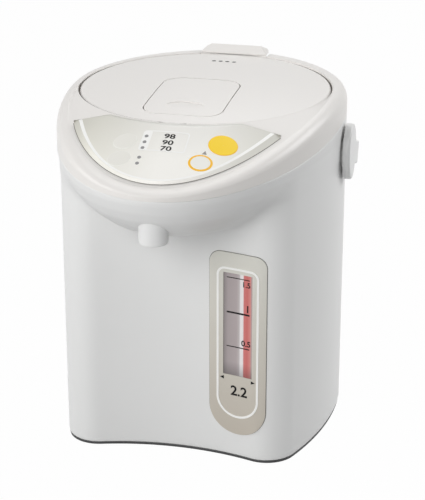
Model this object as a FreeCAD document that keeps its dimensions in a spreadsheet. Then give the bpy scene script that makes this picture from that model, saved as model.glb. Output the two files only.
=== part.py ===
import FreeCAD, Part
import math
import os

# Electric thermo pot, 2.2 litre class. Origin on the floor, on the axis of the case.
# +X is the viewer's right, the spout points to -Y and +Z is up. Millimetres.

V = FreeCAD.Vector
doc = FreeCAD.newDocument("thermo_pot")
sheet = doc.addObject("Spreadsheet::Sheet", "Dimensions")

# Driving dimensions
SIZES = [
    # Case: a column with an oval back, two round front corners and a hollow front
    ("case_half_width", 98.2),
    ("case_back_reach", 107.9),
    ("case_oval_y", 13.5),
    ("corner_x", 61.0),
    ("corner_y", -64.0),
    ("corner_radius", 22.4),
    ("front_hollow_y", -77.1),
    ("case_wall", 2.2),
    ("case_bottom_z", 1.8),
    ("parting_z", 222.0),
    ("parting_slope", 0.07),
    # Beak: the chin that overhangs the cup
    ("beak_reach", 165.5),
    ("chin_z", 214.0),
    # The bowl's levels: depth under chin_z, then width and reach as shares of the rim's
    ("chin_depth_a", 6.0),
    ("chin_width_a", 0.984),
    ("chin_reach_a", 0.996),
    ("chin_depth_b", 13.0),
    ("chin_width_b", 0.948),
    ("chin_reach_b", 0.981),
    ("chin_depth_c", 20.0),
    ("chin_width_c", 0.892),
    ("chin_reach_c", 0.955),
    ("chin_depth_d", 27.0),
    ("chin_width_d", 0.824),
    ("chin_reach_d", 0.911),
    ("chin_depth_e", 34.0),
    ("chin_width_e", 0.752),
    ("chin_reach_e", 0.848),
    ("chin_depth_f", 41.0),
    ("chin_width_f", 0.672),
    ("chin_reach_f", 0.745),
    ("chin_depth_g", 50.0),
    ("chin_width_g", 0.54),
    ("chin_reach_g", 0.51),
    # Shoulder ring and lid seat
    ("edge_side_z", 232.0),
    ("edge_front_drop", 18.0),
    ("edge_back_rise", 4.0),
    ("lip_z", 241.8),
    ("lip_front_drop", 25.0),
    ("lip_reach", 147.0),
    ("rim_z", 242.6),
    ("ring_wall", 2.4),
    ("funnel_wall", 2.2),
    ("funnel_foot_radius", 82.2),
    # Lid
    ("lid_half_width", 88.0),
    ("lid_half_depth", 91.0),
    ("lid_rim_z", 241.8),
    ("lid_dome", 5.6),
    ("lid_skin", 2.4),
    ("lid_skirt_depth", 12.0),
    ("lid_taper", 3.2),
    ("lid_gap", 0.9),
    ("lever_half_width", 27.0),
    ("lever_front_y", -68.2),
    ("lever_back_y", 7.1),
    ("lever_corner", 12.5),
    ("lever_gap", 0.7),
    ("lever_thickness", 2.6),
    ("scoop_half_width", 13.0),
    ("scoop_y", -52.5),
    ("scoop_half_depth", 8.5),
    ("vent_pitch", 5.0),
    ("vent_y", 64.0),
    ("vent_radius", 1.5),
    ("hinge_inset", 11.4),
    ("hinge_z", 236.4),
    ("hinge_pin_radius", 2.0),
    ("hinge_notch_half", 25.2),
    ("release_half_width", 24.6),
    ("release_front_y", 95.8),
    ("release_back_y", 111.0),
    ("release_height", 5.0),
    # Vessel
    ("vessel_y", 7.0),
    ("vessel_radius", 79.2),
    ("vessel_wall", 0.6),
    ("vessel_floor_z", 59.8),
    ("vessel_top_z", 204.0),
    ("vessel_corner", 8.0),
    ("flange_radius", 86.0),
    ("flange_thickness", 0.9),
    ("gasket_height", 1.4),
    ("heater_inner", 22.0),
    ("heater_outer", 45.0),
    ("heater_height", 8.0),
    ("cradle_inner", 69.5),
    ("cradle_sheet", 1.2),
    ("cradle_lip", 7.0),
    ("cradle_leg_width", 14.0),
    # Pump and water way
    ("pump_x", 42.0),
    ("pump_y", -32.0),
    ("pump_radius", 20.0),
    ("pump_height", 15.0),
    ("pump_bottom_z", 33.0),
    ("pump_wall", 2.0),
    ("port_radius", 8.2),
    ("motor_radius", 14.0),
    ("motor_height", 24.0),
    ("gauge_tube_x", 49.5),
    ("gauge_tube_y", -73.5),
    ("gauge_tube_radius", 4.5),
    ("gauge_tube_bore", 3.3),
    ("gauge_tube_bottom_z", 56.0),
    ("gauge_tube_top_z", 186.0),
    ("hose_wall", 1.5),
    ("outlet_pipe_z", 202.4),
    ("nozzle_y", -134.5),
    ("nozzle_radius", 9.7),
    ("nozzle_tip_z", 177.4),
    ("nozzle_top_z", 196.0),
    ("nozzle_bore", 4.5),
    # Gauge window on the front, measured on its face
    ("gauge_x", 44.2),
    ("surround_half_width", 20.6),
    ("surround_bottom_z", 19.4),
    ("surround_top_z", 154.0),
    ("surround_proud", 0.9),
    ("frame_half_width", 15.4),
    ("frame_bottom_z", 32.0),
    ("frame_top_z", 143.5),
    ("frame_band", 1.5),
    ("lens_half_width", 10.6),
    ("lens_bottom_z", 64.0),
    ("lens_top_z", 139.5),
    ("lens_thickness", 1.6),
    ("scale_plate_thickness", 0.8),
    # Control panel and its keys
    ("panel_half_width", 86.0),
    ("panel_reach", 145.0),
    ("panel_tip_x", 70.5),
    ("panel_tip_y", -76.3),
    ("panel_top_half_width", 44.6),
    ("panel_rim_gap", 4.8),
    ("panel_thickness", 2.2),
    ("panel_bevel", 1.5),
    ("ramp_angle", 26.6),
    ("ramp_y", -110.0),
    ("ramp_z", 231.4),
    ("key_proud", 0.3),
    ("key_travel", 0.8),
    ("key_gap", 0.35),
    ("key_length", 9.0),
    ("dispense_x", 37.7),
    ("dispense_y", -100.4),
    ("dispense_half_width", 9.8),
    ("dispense_half_length", 9.8),
    ("unlock_x", 27.1),
    ("unlock_y", -118.6),
    ("unlock_half_width", 8.0),
    ("unlock_half_length", 7.8),
    ("small_key_x", -26.5),
    ("warmth_y", -104.6),
    ("timer_y", -119.8),
    ("small_key_half_width", 7.8),
    ("small_key_half_length", 6.7),
    ("lamp_x", -13.2),
    ("lamp_radius", 1.3),
    ("lamp_first_y", -99.9),
    ("lamp_pitch", 5.0),
    ("lamp_pair_y", -118.0),
    ("board_thickness", 1.6),
    ("board_half_width", 50.0),
    ("board_half_length", 16.0),
    # Handle
    ("pivot_y", 13.0),
    ("pivot_z", 200.0),
    ("pivot_pin_radius", 4.0),
    ("pivot_fit", 0.05),
    ("boss_radius", 11.0),
    ("boss_proud", 1.2),
    ("handle_inner_half", 99.7),
    ("handle_thickness", 4.2),
    ("handle_behind", 13.6),
    ("handle_height", 17.0),
    ("handle_straight", 26.0),
    ("handle_droop", 18.0),
    ("ear_half_length", 14.5),
    ("ear_half_height", 20.0),
    # Base and power
    ("base_flange_bottom_z", 0.4),
    ("base_plate_z", 3.0),
    ("base_wall_top_z", 9.0),
    ("foot_radius", 9.0),
    ("foot_height", 1.6),
    ("foot_x", 58.0),
    ("foot_front_y", -62.0),
    ("foot_back_y", 70.0),
    ("post_radius", 5.0),
    ("post_top_z", 34.0),
    ("screw_radius", 1.8),
    ("screw_head_radius", 3.4),
    ("inlet_half_width", 17.0),
    ("inlet_bottom_z", 22.0),
    ("inlet_top_z", 44.0),
    ("inlet_front_y", 106.0),
    ("inlet_wall", 2.0),
    ("contact_radius", 1.6),
    ("contact_pitch", 12.0),
    ("power_board_y", 98.0),
    ("power_board_half_width", 34.0),
    ("power_board_bottom_z", 66.0),
    ("power_board_top_z", 150.0),
    ("fit_gap", 0.3),
]
for row, (name, size) in enumerate(SIZES, start=1):
    sheet.set("A%d" % row, name)
    sheet.set("B%d" % row, str(size))
    sheet.setAlias("B%d" % row, name)
doc.recompute()


class Size:
    """The sheet's values by name."""

    def __getattr__(self, name):
        return float(sheet.get(name))


d = Size()
parts = []


def keep(item, label):
    """Name a finished sub-part and put it on the list of those that are written."""
    item.Label = label
    parts.append(item)
    return item


def feature(label, shape):
    """A sub-part whose shape is worked out from the sheet's values."""
    item = doc.addObject("Part::Feature", label)
    item.Shape = shape
    return keep(item, label)


def bind(item, **expressions):
    """Tie properties of an object to the sheet. Dots in a path are written as two underscores."""
    for path, text in expressions.items():
        item.setExpression(path.replace("__", "."), text)
    return item


def place(item, x="0", y="0", z="0"):
    return bind(item, Placement__Base__x=x, Placement__Base__y=y, Placement__Base__z=z)


def cylinder(name, radius, height, x="0", y="0", z="0"):
    item = doc.addObject("Part::Cylinder", name)
    bind(item, Radius=radius, Height=height)
    return place(item, x, y, z)


def box(name, length, width, height, x="0", y="0", z="0"):
    item = doc.addObject("Part::Box", name)
    bind(item, Length=length, Width=width, Height=height)
    return place(item, x, y, z)


def cut(name, base, tool):
    item = doc.addObject("Part::Cut", name)
    item.Base = base
    item.Tool = tool
    return item


def fuse(name, shapes):
    item = doc.addObject("Part::MultiFuse", name)
    item.Shapes = shapes
    return item


def sketch_on(body, role, name):
    """A sketch on one of the body's own origin planes."""
    sketch = body.newObject("Sketcher::SketchObject", name)
    plane = [p for p in body.Origin.OriginFeatures if p.Role == role][0]
    sketch.AttachmentSupport = [(plane, "")]
    sketch.MapMode = "FlatFace"
    return sketch


def outline_sketch(body, role, name, corners):
    """A closed outline of straight lines whose corners are tied to the sheet."""
    import Sketcher
    sketch = sketch_on(body, role, name)
    count = len(corners)
    start = [V(math.cos(2 * math.pi * i / count), math.sin(2 * math.pi * i / count), 0) * 50
             for i in range(count)]
    for i in range(count):
        sketch.addGeometry(Part.LineSegment(start[i], start[(i + 1) % count]), False)
    for i in range(count):
        sketch.addConstraint(Sketcher.Constraint("Coincident", i, 2, (i + 1) % count, 1))
    for i, (across, up) in enumerate(corners):
        for axis, text in (("DistanceX", across), ("DistanceY", up)):
            at = sketch.addConstraint(Sketcher.Constraint(axis, -1, 1, i, 1, 10.0))
            sketch.renameConstraint(at, "%s%d" % (axis[-1], i))
            sketch.setExpression("Constraints.%s%d" % (axis[-1], i), text)
    return sketch


def turned_body(label, corners, x="0", y="0", z="0"):
    """A piece turned about its own upright axis from an outline of (radius, height) corners."""
    body = doc.addObject("PartDesign::Body", label)
    sketch = outline_sketch(body, "XZ_Plane", label + "_profile", corners)
    turn = body.newObject("PartDesign::Revolution", label + "_turn")
    turn.Profile = sketch
    turn.ReferenceAxis = (sketch, ["V_Axis"])
    turn.Angle = 360.0
    return place(body, x, y, z)


def padded_body(label, corners, height, x="0", y="0", z="0"):
    """A flat piece: an outline of (x, y) corners with a thickness."""
    body = doc.addObject("PartDesign::Body", label)
    sketch = outline_sketch(body, "XY_Plane", label + "_outline", corners)
    pad = body.newObject("PartDesign::Pad", label + "_pad")
    pad.Profile = sketch
    bind(pad, Length=height)
    return place(body, x, y, z)


# Shared outlines
def oval_edge(half_x, half_y, y0, z, first, last):
    """Part of an upright oval, from angle first to last in degrees from +X."""
    centre = V(0, y0, z)
    if half_x >= half_y:
        oval = Part.Ellipse(V(half_x, y0, z), V(0, y0 + half_y, z), centre)
        turn = 0
    else:
        oval = Part.Ellipse(V(0, y0 + half_y, z), V(-half_x, y0, z), centre)
        turn = 90
    return oval.toShape(math.radians(first - turn), math.radians(last - turn))


def oval_wire(half_x, half_y, y0, z, front=None):
    """A closed oval that starts at +X. The front half may reach further than the back."""
    reach = half_y if front is None else front
    return Part.Wire([oval_edge(half_x, half_y, y0, z, 0, 180),
                      oval_edge(half_x, reach, y0, z, 180, 360)])


def oval_prism(half_x, half_y, y0, z0, z1, front=None):
    return Part.Face(oval_wire(half_x, half_y, y0, z0, front)).extrude(V(0, 0, z1 - z0))


def bow(centre, first, last):
    """The shorter arc about a centre from one point to another."""
    radius = (first - centre).Length
    middle = (first + last) * 0.5 - centre
    return Part.Arc(first, centre + middle.normalize() * radius, last).toShape()


def mirror_x(point):
    return V(-point.x, point.y, point.z)


def case_outline(grow=0.0, z=0.0):
    """The column's plan, grown outwards by a distance: back oval, sides, corners, hollow front."""
    half, y0 = d.case_half_width, d.case_oval_y
    corner = V(d.corner_x, d.corner_y, z)
    rk = d.corner_radius
    # Side arc: upright at the oval's end and tangent to the round corner
    dx, dy = d.corner_x - half, d.corner_y - y0
    side_radius = (dx * dx + dy * dy - rk * rk) / (2 * (-dx - rk))
    side_centre = V(half - side_radius, y0, z)
    # Front arc: hollow, tangent to both corners
    rise = d.front_hollow_y - d.corner_y
    front_radius = (d.corner_x ** 2 + rise ** 2 - rk ** 2) / (2 * (rk + rise))
    front_centre = V(0, d.front_hollow_y - front_radius, z)
    out = (corner - side_centre).normalize()
    side_end = side_centre + out * (side_radius + grow)
    down = (front_centre - corner).normalize()
    corner_end = corner + down * (rk + grow)
    end = V(half + grow, y0, z)
    edges = [oval_edge(half + grow, d.case_back_reach + grow, y0, z, 0, 180),
             bow(mirror_x(side_centre), mirror_x(end), mirror_x(side_end)),
             bow(mirror_x(corner), mirror_x(side_end), mirror_x(corner_end)),
             bow(front_centre, mirror_x(corner_end), corner_end),
             bow(corner, corner_end, side_end),
             bow(side_centre, side_end, end)]
    return Part.Wire(edges)


def column(grow, z0, z1):
    return Part.Face(case_outline(grow, z0)).extrude(V(0, 0, z1 - z0))


def ring_curve(rule, count=48):
    """A smooth closed curve through the points that a rule gives for each angle."""
    points = [rule(2 * math.pi * i / count) for i in range(count)]
    curve = Part.BSplineCurve()
    curve.interpolate(Points=points, PeriodicFlag=True)
    return Part.Wire([curve.toShape()])


def chin_curve(half_x, reach, z):
    """The beak's outline at a height. Its back half only has to lie inside the column."""
    def rule(angle):
        deep = reach if math.sin(angle) < 0 else 0.6 * half_x
        return V(half_x * math.cos(angle), d.case_oval_y + deep * math.sin(angle), z)
    return ring_curve(rule)


def chin(grow, z1):
    """The beak below the parting line: an upright rim over a bowl that runs into the column."""
    half, reach = d.case_half_width + grow, d.beak_reach + grow
    levels = [(0.0, 1.0, 1.0)]
    for name in ("a", "b", "c", "d", "e", "f", "g"):
        levels.append(tuple(getattr(d, "chin_%s_%s" % (what, name)) for what in ("depth", "width", "reach")))
    curves = [chin_curve(half * wide, reach * far, d.chin_z - grow - down)
              for down, wide, far in levels]
    rim = chin_curve(half, reach, z1)
    faces = Part.makeLoft([rim, curves[0]], False, True).Faces
    faces += Part.makeLoft(curves, False, False).Faces
    faces += [Part.Face(rim), Part.Face(curves[-1])]
    return closed_solid(faces)


def closed_solid(faces):
    shell = Part.makeShell(faces)
    shell.sewShape()
    solid = Part.makeSolid(shell)
    if solid.Volume < 0:
        solid.reverse()
    return solid


def above_parting(lift=0.0):
    """Everything over the sloping parting plane."""
    size = 4 * d.beak_reach
    block = Part.makeBox(size, size, size)
    block.translate(V(-size / 2, -size / 2, 0))
    turn = FreeCAD.Rotation(V(1, 0, 0), math.degrees(math.atan(d.parting_slope)))
    block.Placement = FreeCAD.Placement(V(0, 0, d.parting_z + lift), turn).multiply(block.Placement)
    return block


def rod(radius, start, end):
    """A round bar between two points."""
    start, end = V(*start), V(*end)
    return Part.makeCylinder(radius, (end - start).Length, start, end - start)


def brick(x0, x1, y0, y1, z0, z1):
    return Part.makeBox(x1 - x0, y1 - y0, z1 - z0, V(x0, y0, z0))


def case_y(x, grow=0.0):
    """Where the hollow front stands at a given distance from the middle."""
    rise = d.front_hollow_y - d.corner_y
    rk = d.corner_radius
    radius = (d.corner_x ** 2 + rise ** 2 - rk ** 2) / (2 * (rk + rise))
    return d.front_hollow_y - radius + math.sqrt((radius - grow) ** 2 - x * x)


def back_y(x, grow=0.0):
    """Where the case's back stands at a given distance from the middle."""
    half = d.case_half_width + grow
    return d.case_oval_y + (d.case_back_reach + grow) * math.sqrt(1 - (x / half) ** 2)


def post_places():
    """The four screw posts, half sunk in the case's wall."""
    inset = d.case_wall + 0.7 * d.post_radius
    reach = (d.corner_radius - inset) * math.sqrt(0.5)
    front = (d.corner_x + reach, d.corner_y - reach)
    angle = math.radians(50)
    back = ((d.case_half_width - inset) * math.cos(angle),
            d.case_oval_y + (d.case_back_reach - inset) * math.sin(angle))
    return [(side * x, y) for x, y in (front, back) for side in (-1, 1)]


def round_slot(half_width, z0, z1, y0, y1, x0=0.0, top_radius=None):
    """An upright window shape run through along Y: full round foot, rounded top corners."""
    radius = half_width if top_radius is None else top_radius
    foot = V(x0, y0, z0 + half_width)
    left, right = V(x0 - half_width, y0, foot.z), V(x0 + half_width, y0, foot.z)
    tl, tr = V(x0 - half_width, y0, z1 - radius), V(x0 + half_width, y0, z1 - radius)
    tl2, tr2 = V(x0 - half_width + radius, y0, z1), V(x0 + half_width - radius, y0, z1)
    edges = [Part.Arc(right, V(x0, y0, z0), left).toShape(),
             Part.LineSegment(left, tl).toShape(),
             bow(V(tl2.x, y0, tl.z), tl, tl2)]
    if (tr2 - tl2).Length > 0.001:
        edges.append(Part.LineSegment(tl2, tr2).toShape())
    edges += [bow(V(tr2.x, y0, tr.z), tr2, tr), Part.LineSegment(tr, right).toShape()]
    return Part.Face(Part.Wire(edges)).extrude(V(0, y1 - y0, 0))


# Outer case with its beak
def make_outer_case():
    top = d.lip_z + 20
    # The beak stands out by a hair so that it meets the column cleanly
    shell = column(0, d.case_bottom_z, top).fuse(chin(0.05, top)).removeSplitter()
    inside = column(-d.case_wall, d.case_bottom_z - 5, top + 5).fuse(chin(-d.case_wall, top + 5))
    shell = shell.cut(inside).cut(above_parting())
    room = column(-0.3 * d.case_wall, d.case_bottom_z - 5, top)
    added, holes = [], []
    # Screw posts inside the front corners and the back
    for x, y in post_places():
        post = rod(d.post_radius, (x, y, d.base_plate_z), (x, y, d.post_top_z))
        added.append(post.common(room))
        holes.append(rod(d.screw_radius, (x, y, 0), (x, y, d.post_top_z - 4)))
    # Bosses that carry the handle
    for side in (-1, 1):
        face = side * (d.case_half_width + d.boss_proud)
        root = side * (d.case_half_width - 6)
        added.append(rod(d.boss_radius, (root, d.pivot_y, d.pivot_z), (face, d.pivot_y, d.pivot_z)))
        holes.append(rod(d.pivot_pin_radius, (root - side, d.pivot_y, d.pivot_z),
                         (face + side, d.pivot_y, d.pivot_z)))
    # Pegs that hold the power board off the back wall
    reach = d.power_board_half_width - 6
    for x in (-reach, reach):
        for z in (d.power_board_bottom_z + 6, d.power_board_top_z - 6):
            peg = rod(3.0, (x, d.power_board_y + d.board_thickness, z), (x, back_y(x), z))
            added.append(peg.common(room))
    # Window, inlet and nozzle openings
    holes.append(round_slot(d.surround_half_width - 3, d.surround_bottom_z + 3, d.surround_top_z - 3,
                            d.front_hollow_y - 30, d.front_hollow_y + 15, d.gauge_x, 6))
    holes.append(brick(-d.inlet_half_width, d.inlet_half_width, d.inlet_front_y,
                       d.case_oval_y + d.case_back_reach + 5, d.inlet_bottom_z, d.inlet_top_z))
    holes.append(rod(d.nozzle_radius + 0.02, (0, d.nozzle_y, d.nozzle_tip_z - 5),
                     (0, d.nozzle_y, d.nozzle_top_z)))
    return shell.multiFuse(added).cut(Part.makeCompound(holes))


feature("outer_case", make_outer_case())


# Shoulder ring: the top moulding that carries the lid, the panel and the funnel
def parting_rule(shrink, lift):
    def rule(angle):
        reach = d.beak_reach if math.sin(angle) < 0 else d.case_back_reach
        y = d.case_oval_y + (reach - shrink) * math.sin(angle)
        x = (d.case_half_width - shrink) * math.cos(angle)
        return V(x, y, d.parting_z + lift + d.parting_slope * y)
    return rule


def edge_point(angle, shrink):
    """The upright foot of the rounded shoulder."""
    up = math.sin(angle)
    reach = d.beak_reach if up < 0 else d.case_back_reach
    change = -d.edge_front_drop if up < 0 else d.edge_back_rise
    return V((d.case_half_width - shrink) * math.cos(angle),
             d.case_oval_y + (reach - shrink) * up, d.edge_side_z + change * up * up - shrink)


def lip_point(angle, shrink):
    """The flat inner end of the rounded shoulder, where the panel's foot and the lid's rim lie."""
    up = math.sin(angle)
    half_x = d.lid_half_width + d.lid_gap + 0.9
    reach = d.lip_reach if up < 0 else d.lid_half_depth + d.lid_gap + 0.9
    drop = d.lip_front_drop if up < 0 else 0
    return V(half_x * math.cos(angle), d.vessel_y + reach * up,
             d.lip_z - drop * up * up - shrink)


def shoulder_rule(share, shrink):
    """A quarter round from the upright edge to the flat lip, at a share of its turn."""
    turn = math.radians(90 * share)

    def rule(angle):
        foot, end = edge_point(angle, shrink), lip_point(angle, shrink)
        flat, rise = 1 - math.cos(turn), math.sin(turn)
        return V(foot.x + (end.x - foot.x) * flat, foot.y + (end.y - foot.y) * flat,
                 foot.z + (end.z - foot.z) * rise)
    return rule


def rim_rule(shrink):
    def rule(angle):
        return V((d.lid_half_width + d.lid_gap) * math.cos(angle),
                 d.vessel_y + (d.lid_half_depth + d.lid_gap) * math.sin(angle), d.rim_z - shrink)
    return rule


def shoulder_solid(shrink=0.0, lift=0.0):
    """The closed form of the head between the parting plane and the lid's rim."""
    parting = ring_curve(parting_rule(shrink, lift))
    edge = ring_curve(shoulder_rule(0, shrink))
    round_curves = [edge] + [ring_curve(shoulder_rule(s, shrink)) for s in (0.33, 0.67, 1.0)]
    rim = ring_curve(rim_rule(shrink))
    faces = Part.makeLoft([parting, edge], False, True).Faces
    faces += Part.makeLoft(round_curves, False, False).Faces
    faces += Part.makeLoft([round_curves[-1], rim], False, True).Faces
    faces += [Part.Face(parting), Part.Face(rim)]
    return closed_solid(faces)


HEAD = shoulder_solid()


def cone_between(wire_a, wire_b):
    return Part.makeLoft([wire_a, wire_b], True, True)


def funnel_solid(shrink):
    """The funnel from the lid's rim down to the vessel's flange."""
    foot = d.vessel_top_z + d.flange_thickness + d.gasket_height
    half_x = d.lid_half_width + d.lid_gap - shrink
    half_y = d.lid_half_depth + d.lid_gap - shrink
    low = d.funnel_foot_radius - shrink
    below = 0 if shrink < 0 else -2
    spread = 0.3 if shrink == 0 else 0
    return cone_between(oval_wire(half_x + spread, half_y + spread, d.vessel_y,
                                  d.rim_z - (2 if shrink < 0 else -1)),
                        oval_wire(low, low, d.vessel_y, foot + below))


def ramp_place(x, y, above=0.0):
    """A point over the panel's ramp, with the ramp's own tilt."""
    slope = math.radians(d.ramp_angle)
    z = d.ramp_z + (y - d.ramp_y) * math.tan(slope)
    normal = V(0, -math.sin(slope), math.cos(slope))
    return V(x, y, z) + normal * above


def ramp_placed(shape, x, y, above):
    """Set a shape that was drawn flat at the origin on the ramp."""
    shape.Placement = FreeCAD.Placement(ramp_place(x, y, above),
                                        FreeCAD.Rotation(V(1, 0, 0), d.ramp_angle))
    return shape


def sunk(x, y):
    """How far the crowned head lies under the flat ramp at a place, square to the ramp."""
    half_x = d.lid_half_width + d.lid_gap
    share = 0.5
    for _ in range(8):
        across = x / (half_x + 0.9 * share)
        up = -math.sqrt(1 - across * across)
        near = d.lid_half_depth + d.lid_gap
        share = ((y - d.vessel_y) / up - near) / (d.lip_reach - near)
    height = d.rim_z + share * (d.lip_z - d.lip_front_drop * up * up - d.rim_z)
    slope = math.radians(d.ramp_angle)
    return (height - d.ramp_z - (y - d.ramp_y) * math.tan(slope)) * math.cos(slope)


def key_shape(half_x, half_y, low, high):
    """An oval key drawn flat: from low to high over the ramp."""
    return oval_prism(half_x, half_y, 0, low, high)


KEYS = [
    ("dispense_key", d.dispense_x, d.dispense_y, d.dispense_half_width, d.dispense_half_length),
    ("unlock_key", d.unlock_x, d.unlock_y, d.unlock_half_width, d.unlock_half_length),
    ("warmth_key", d.small_key_x, d.warmth_y, d.small_key_half_width, d.small_key_half_length),
    ("timer_key", d.small_key_x, d.timer_y, d.small_key_half_width, d.small_key_half_length),
]


def key_holes(gap):
    holes = [ramp_placed(key_shape(hx + gap, hy + gap, -20, 20), x, y, 0)
             for _, x, y, hx, hy in KEYS]
    return holes[0].multiFuse(holes[1:])


def lamp_places():
    first = [(d.lamp_x, d.lamp_first_y - i * d.lamp_pitch) for i in range(3)]
    return first + [(d.lamp_x, d.lamp_pair_y - i * d.lamp_pitch) for i in range(2)]


# Top of the control board under the ramp, and floor of the lever's pocket in the lid
BOARD_LOW = d.panel_thickness + d.key_proud - d.key_length - d.key_travel - 9.5
POCKET_Z = d.lid_rim_z - 6.5
# Pin of the lever in the lid, near its back edge, and pin of the release lever
PIN_Y = d.lever_back_y - 3.8
HINGE_Y = d.case_oval_y + d.case_back_reach - d.hinge_inset
PIN_Z = d.lid_rim_z + 1.8
RELEASE_Y = d.release_front_y + 7
# Half the lever pin's length: it ends 0.8 mm inside the wall of the lever's tray
TRAY_CORNER = d.lever_corner + d.lever_gap
TRAY_RUN = TRAY_CORNER - (d.lever_back_y + d.lever_gap - PIN_Y)
PIN_HALF = d.lever_half_width - d.lever_corner + math.sqrt(TRAY_CORNER ** 2 - TRAY_RUN ** 2) + 0.8


def make_shoulder_ring():
    inside = shoulder_solid(d.ring_wall, -3)
    ring = HEAD.cut(inside)
    wall = funnel_solid(-d.funnel_wall).common(HEAD.fuse(column(-d.case_wall - 1, 100, d.lip_z)))
    ring = ring.fuse(wall)
    ring = ring.cut(funnel_solid(0))
    # Cheeks for the hinge pin, and the notch in which the hinge block turns
    half = d.hinge_notch_half
    cheeks = [brick(min(s * half, s * (half + 5)), max(s * half, s * (half + 5)),
                    d.vessel_y + d.lid_half_depth - 6, d.case_oval_y + d.case_back_reach,
                    d.hinge_z - 6, d.lip_z + 5).common(HEAD) for s in (-1, 1)]
    ring = ring.fuse(cheeks[0]).fuse(cheeks[1]).cut(funnel_solid(0))
    notch = brick(-half, half, d.vessel_y + d.lid_half_depth - 8,
                  d.case_oval_y + d.case_back_reach + 5, d.hinge_z - 6, d.rim_z + 20)
    ring = ring.cut(notch)
    pin = rod(d.hinge_pin_radius, (-half - 4, HINGE_Y, d.hinge_z), (half + 4, HINGE_Y, d.hinge_z))
    ring = ring.cut(pin).cut(key_holes(d.key_gap))
    for x, y in lamp_places():
        ring = ring.cut(ramp_placed(oval_prism(d.lamp_radius, d.lamp_radius, 0, -8, 8), x, y, 0))
    # Posts under the ramp that hold the control board
    for x, ahead in ((-46, -9), (46, -9), (-44, 9), (12, 12)):
        post = ramp_placed(Part.makeCylinder(2.5, -BOARD_LOW - 1.0), x, d.ramp_y + ahead, BOARD_LOW)
        ring = ring.fuse(post.common(HEAD))
    # Keeper groove for the latch in the front of the funnel
    groove = brick(-9.6, 9.6, d.vessel_y - d.lid_half_depth - d.lid_gap + 0.1, d.lever_front_y,
                   POCKET_Z - 1, d.rim_z + 1)
    return ring.cut(groove)


feature("shoulder_ring", make_shoulder_ring())


# Control panel: a raised crescent on the ramp in front of the lid
def panel_outline(shrink, z):
    half_x, reach = d.panel_half_width - shrink, d.panel_reach - shrink
    tip_y = d.panel_tip_y - 0.5 * shrink
    lean = math.degrees(math.asin((d.vessel_y - tip_y) / reach))
    low = oval_edge(half_x, reach, d.vessel_y, z, 180 + lean, 360 - lean)
    rim_x = d.lid_half_width + d.lid_gap + d.panel_rim_gap + shrink
    rim_y = d.lid_half_depth + d.lid_gap + d.panel_rim_gap - 1 + shrink
    turn = math.degrees(math.acos((d.panel_top_half_width - shrink) / rim_x))
    high = oval_edge(rim_x, rim_y, d.vessel_y, z, 180 + turn, 360 - turn)
    a, b = low.Vertexes[0].Point, low.Vertexes[-1].Point
    p, q = high.Vertexes[0].Point, high.Vertexes[-1].Point
    lines = [Part.LineSegment(b, q).toShape(), Part.LineSegment(p, a).toShape()]
    return Part.Wire(Part.__sortEdges__([low, high] + lines))


def make_control_panel():
    slope = math.radians(d.ramp_angle)
    raised = HEAD.copy()
    raised.translate(V(0, -math.sin(slope), math.cos(slope)) * d.panel_thickness)
    prism = Part.Face(panel_outline(0, d.lip_z - 60)).extrude(V(0, 0, 90))
    panel = raised.cut(HEAD).common(prism)
    panel = panel.cut(key_holes(d.key_gap))
    for x, y in lamp_places():
        panel = panel.cut(ramp_placed(oval_prism(d.lamp_radius, d.lamp_radius, 0, -8, 8), x, y, 0))
    return panel


feature("control_panel", make_control_panel())

for label, x, y, half_x, half_y in KEYS:
    top = d.panel_thickness + d.key_proud + sunk(x, y)
    key = key_shape(half_x, half_y, top - d.key_length, top)
    feature(label, ramp_placed(key, x, y, 0))

lamps = [ramp_placed(oval_prism(d.lamp_radius - 0.05, d.lamp_radius - 0.05, 0, -6, 2.4), x, y, sunk(x, y))
         for x, y in lamp_places()]
feature("indicator_lamps", Part.makeCompound(lamps))

# Control board under the ramp, with a switch under each key
def make_control_board():
    board = brick(-d.board_half_width, d.board_half_width, -d.board_half_length,
                  d.board_half_length, BOARD_LOW - d.board_thickness, BOARD_LOW)
    return ramp_placed(board, 0, d.ramp_y, 0)


feature("control_board", make_control_board())
switches = []
for _, x, y, _, _ in KEYS:
    under = d.panel_thickness + d.key_proud + sunk(x, y) - d.key_length - d.key_travel - d.fit_gap
    switch = brick(-3, 3, -3, 3, BOARD_LOW, BOARD_LOW + 3.5).fuse(
        Part.makeCylinder(1.7, under - BOARD_LOW, V(0, 0, BOARD_LOW)))
    switches.append(ramp_placed(switch, x, y, 0))
feature("key_switches", Part.makeCompound(switches))


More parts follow.
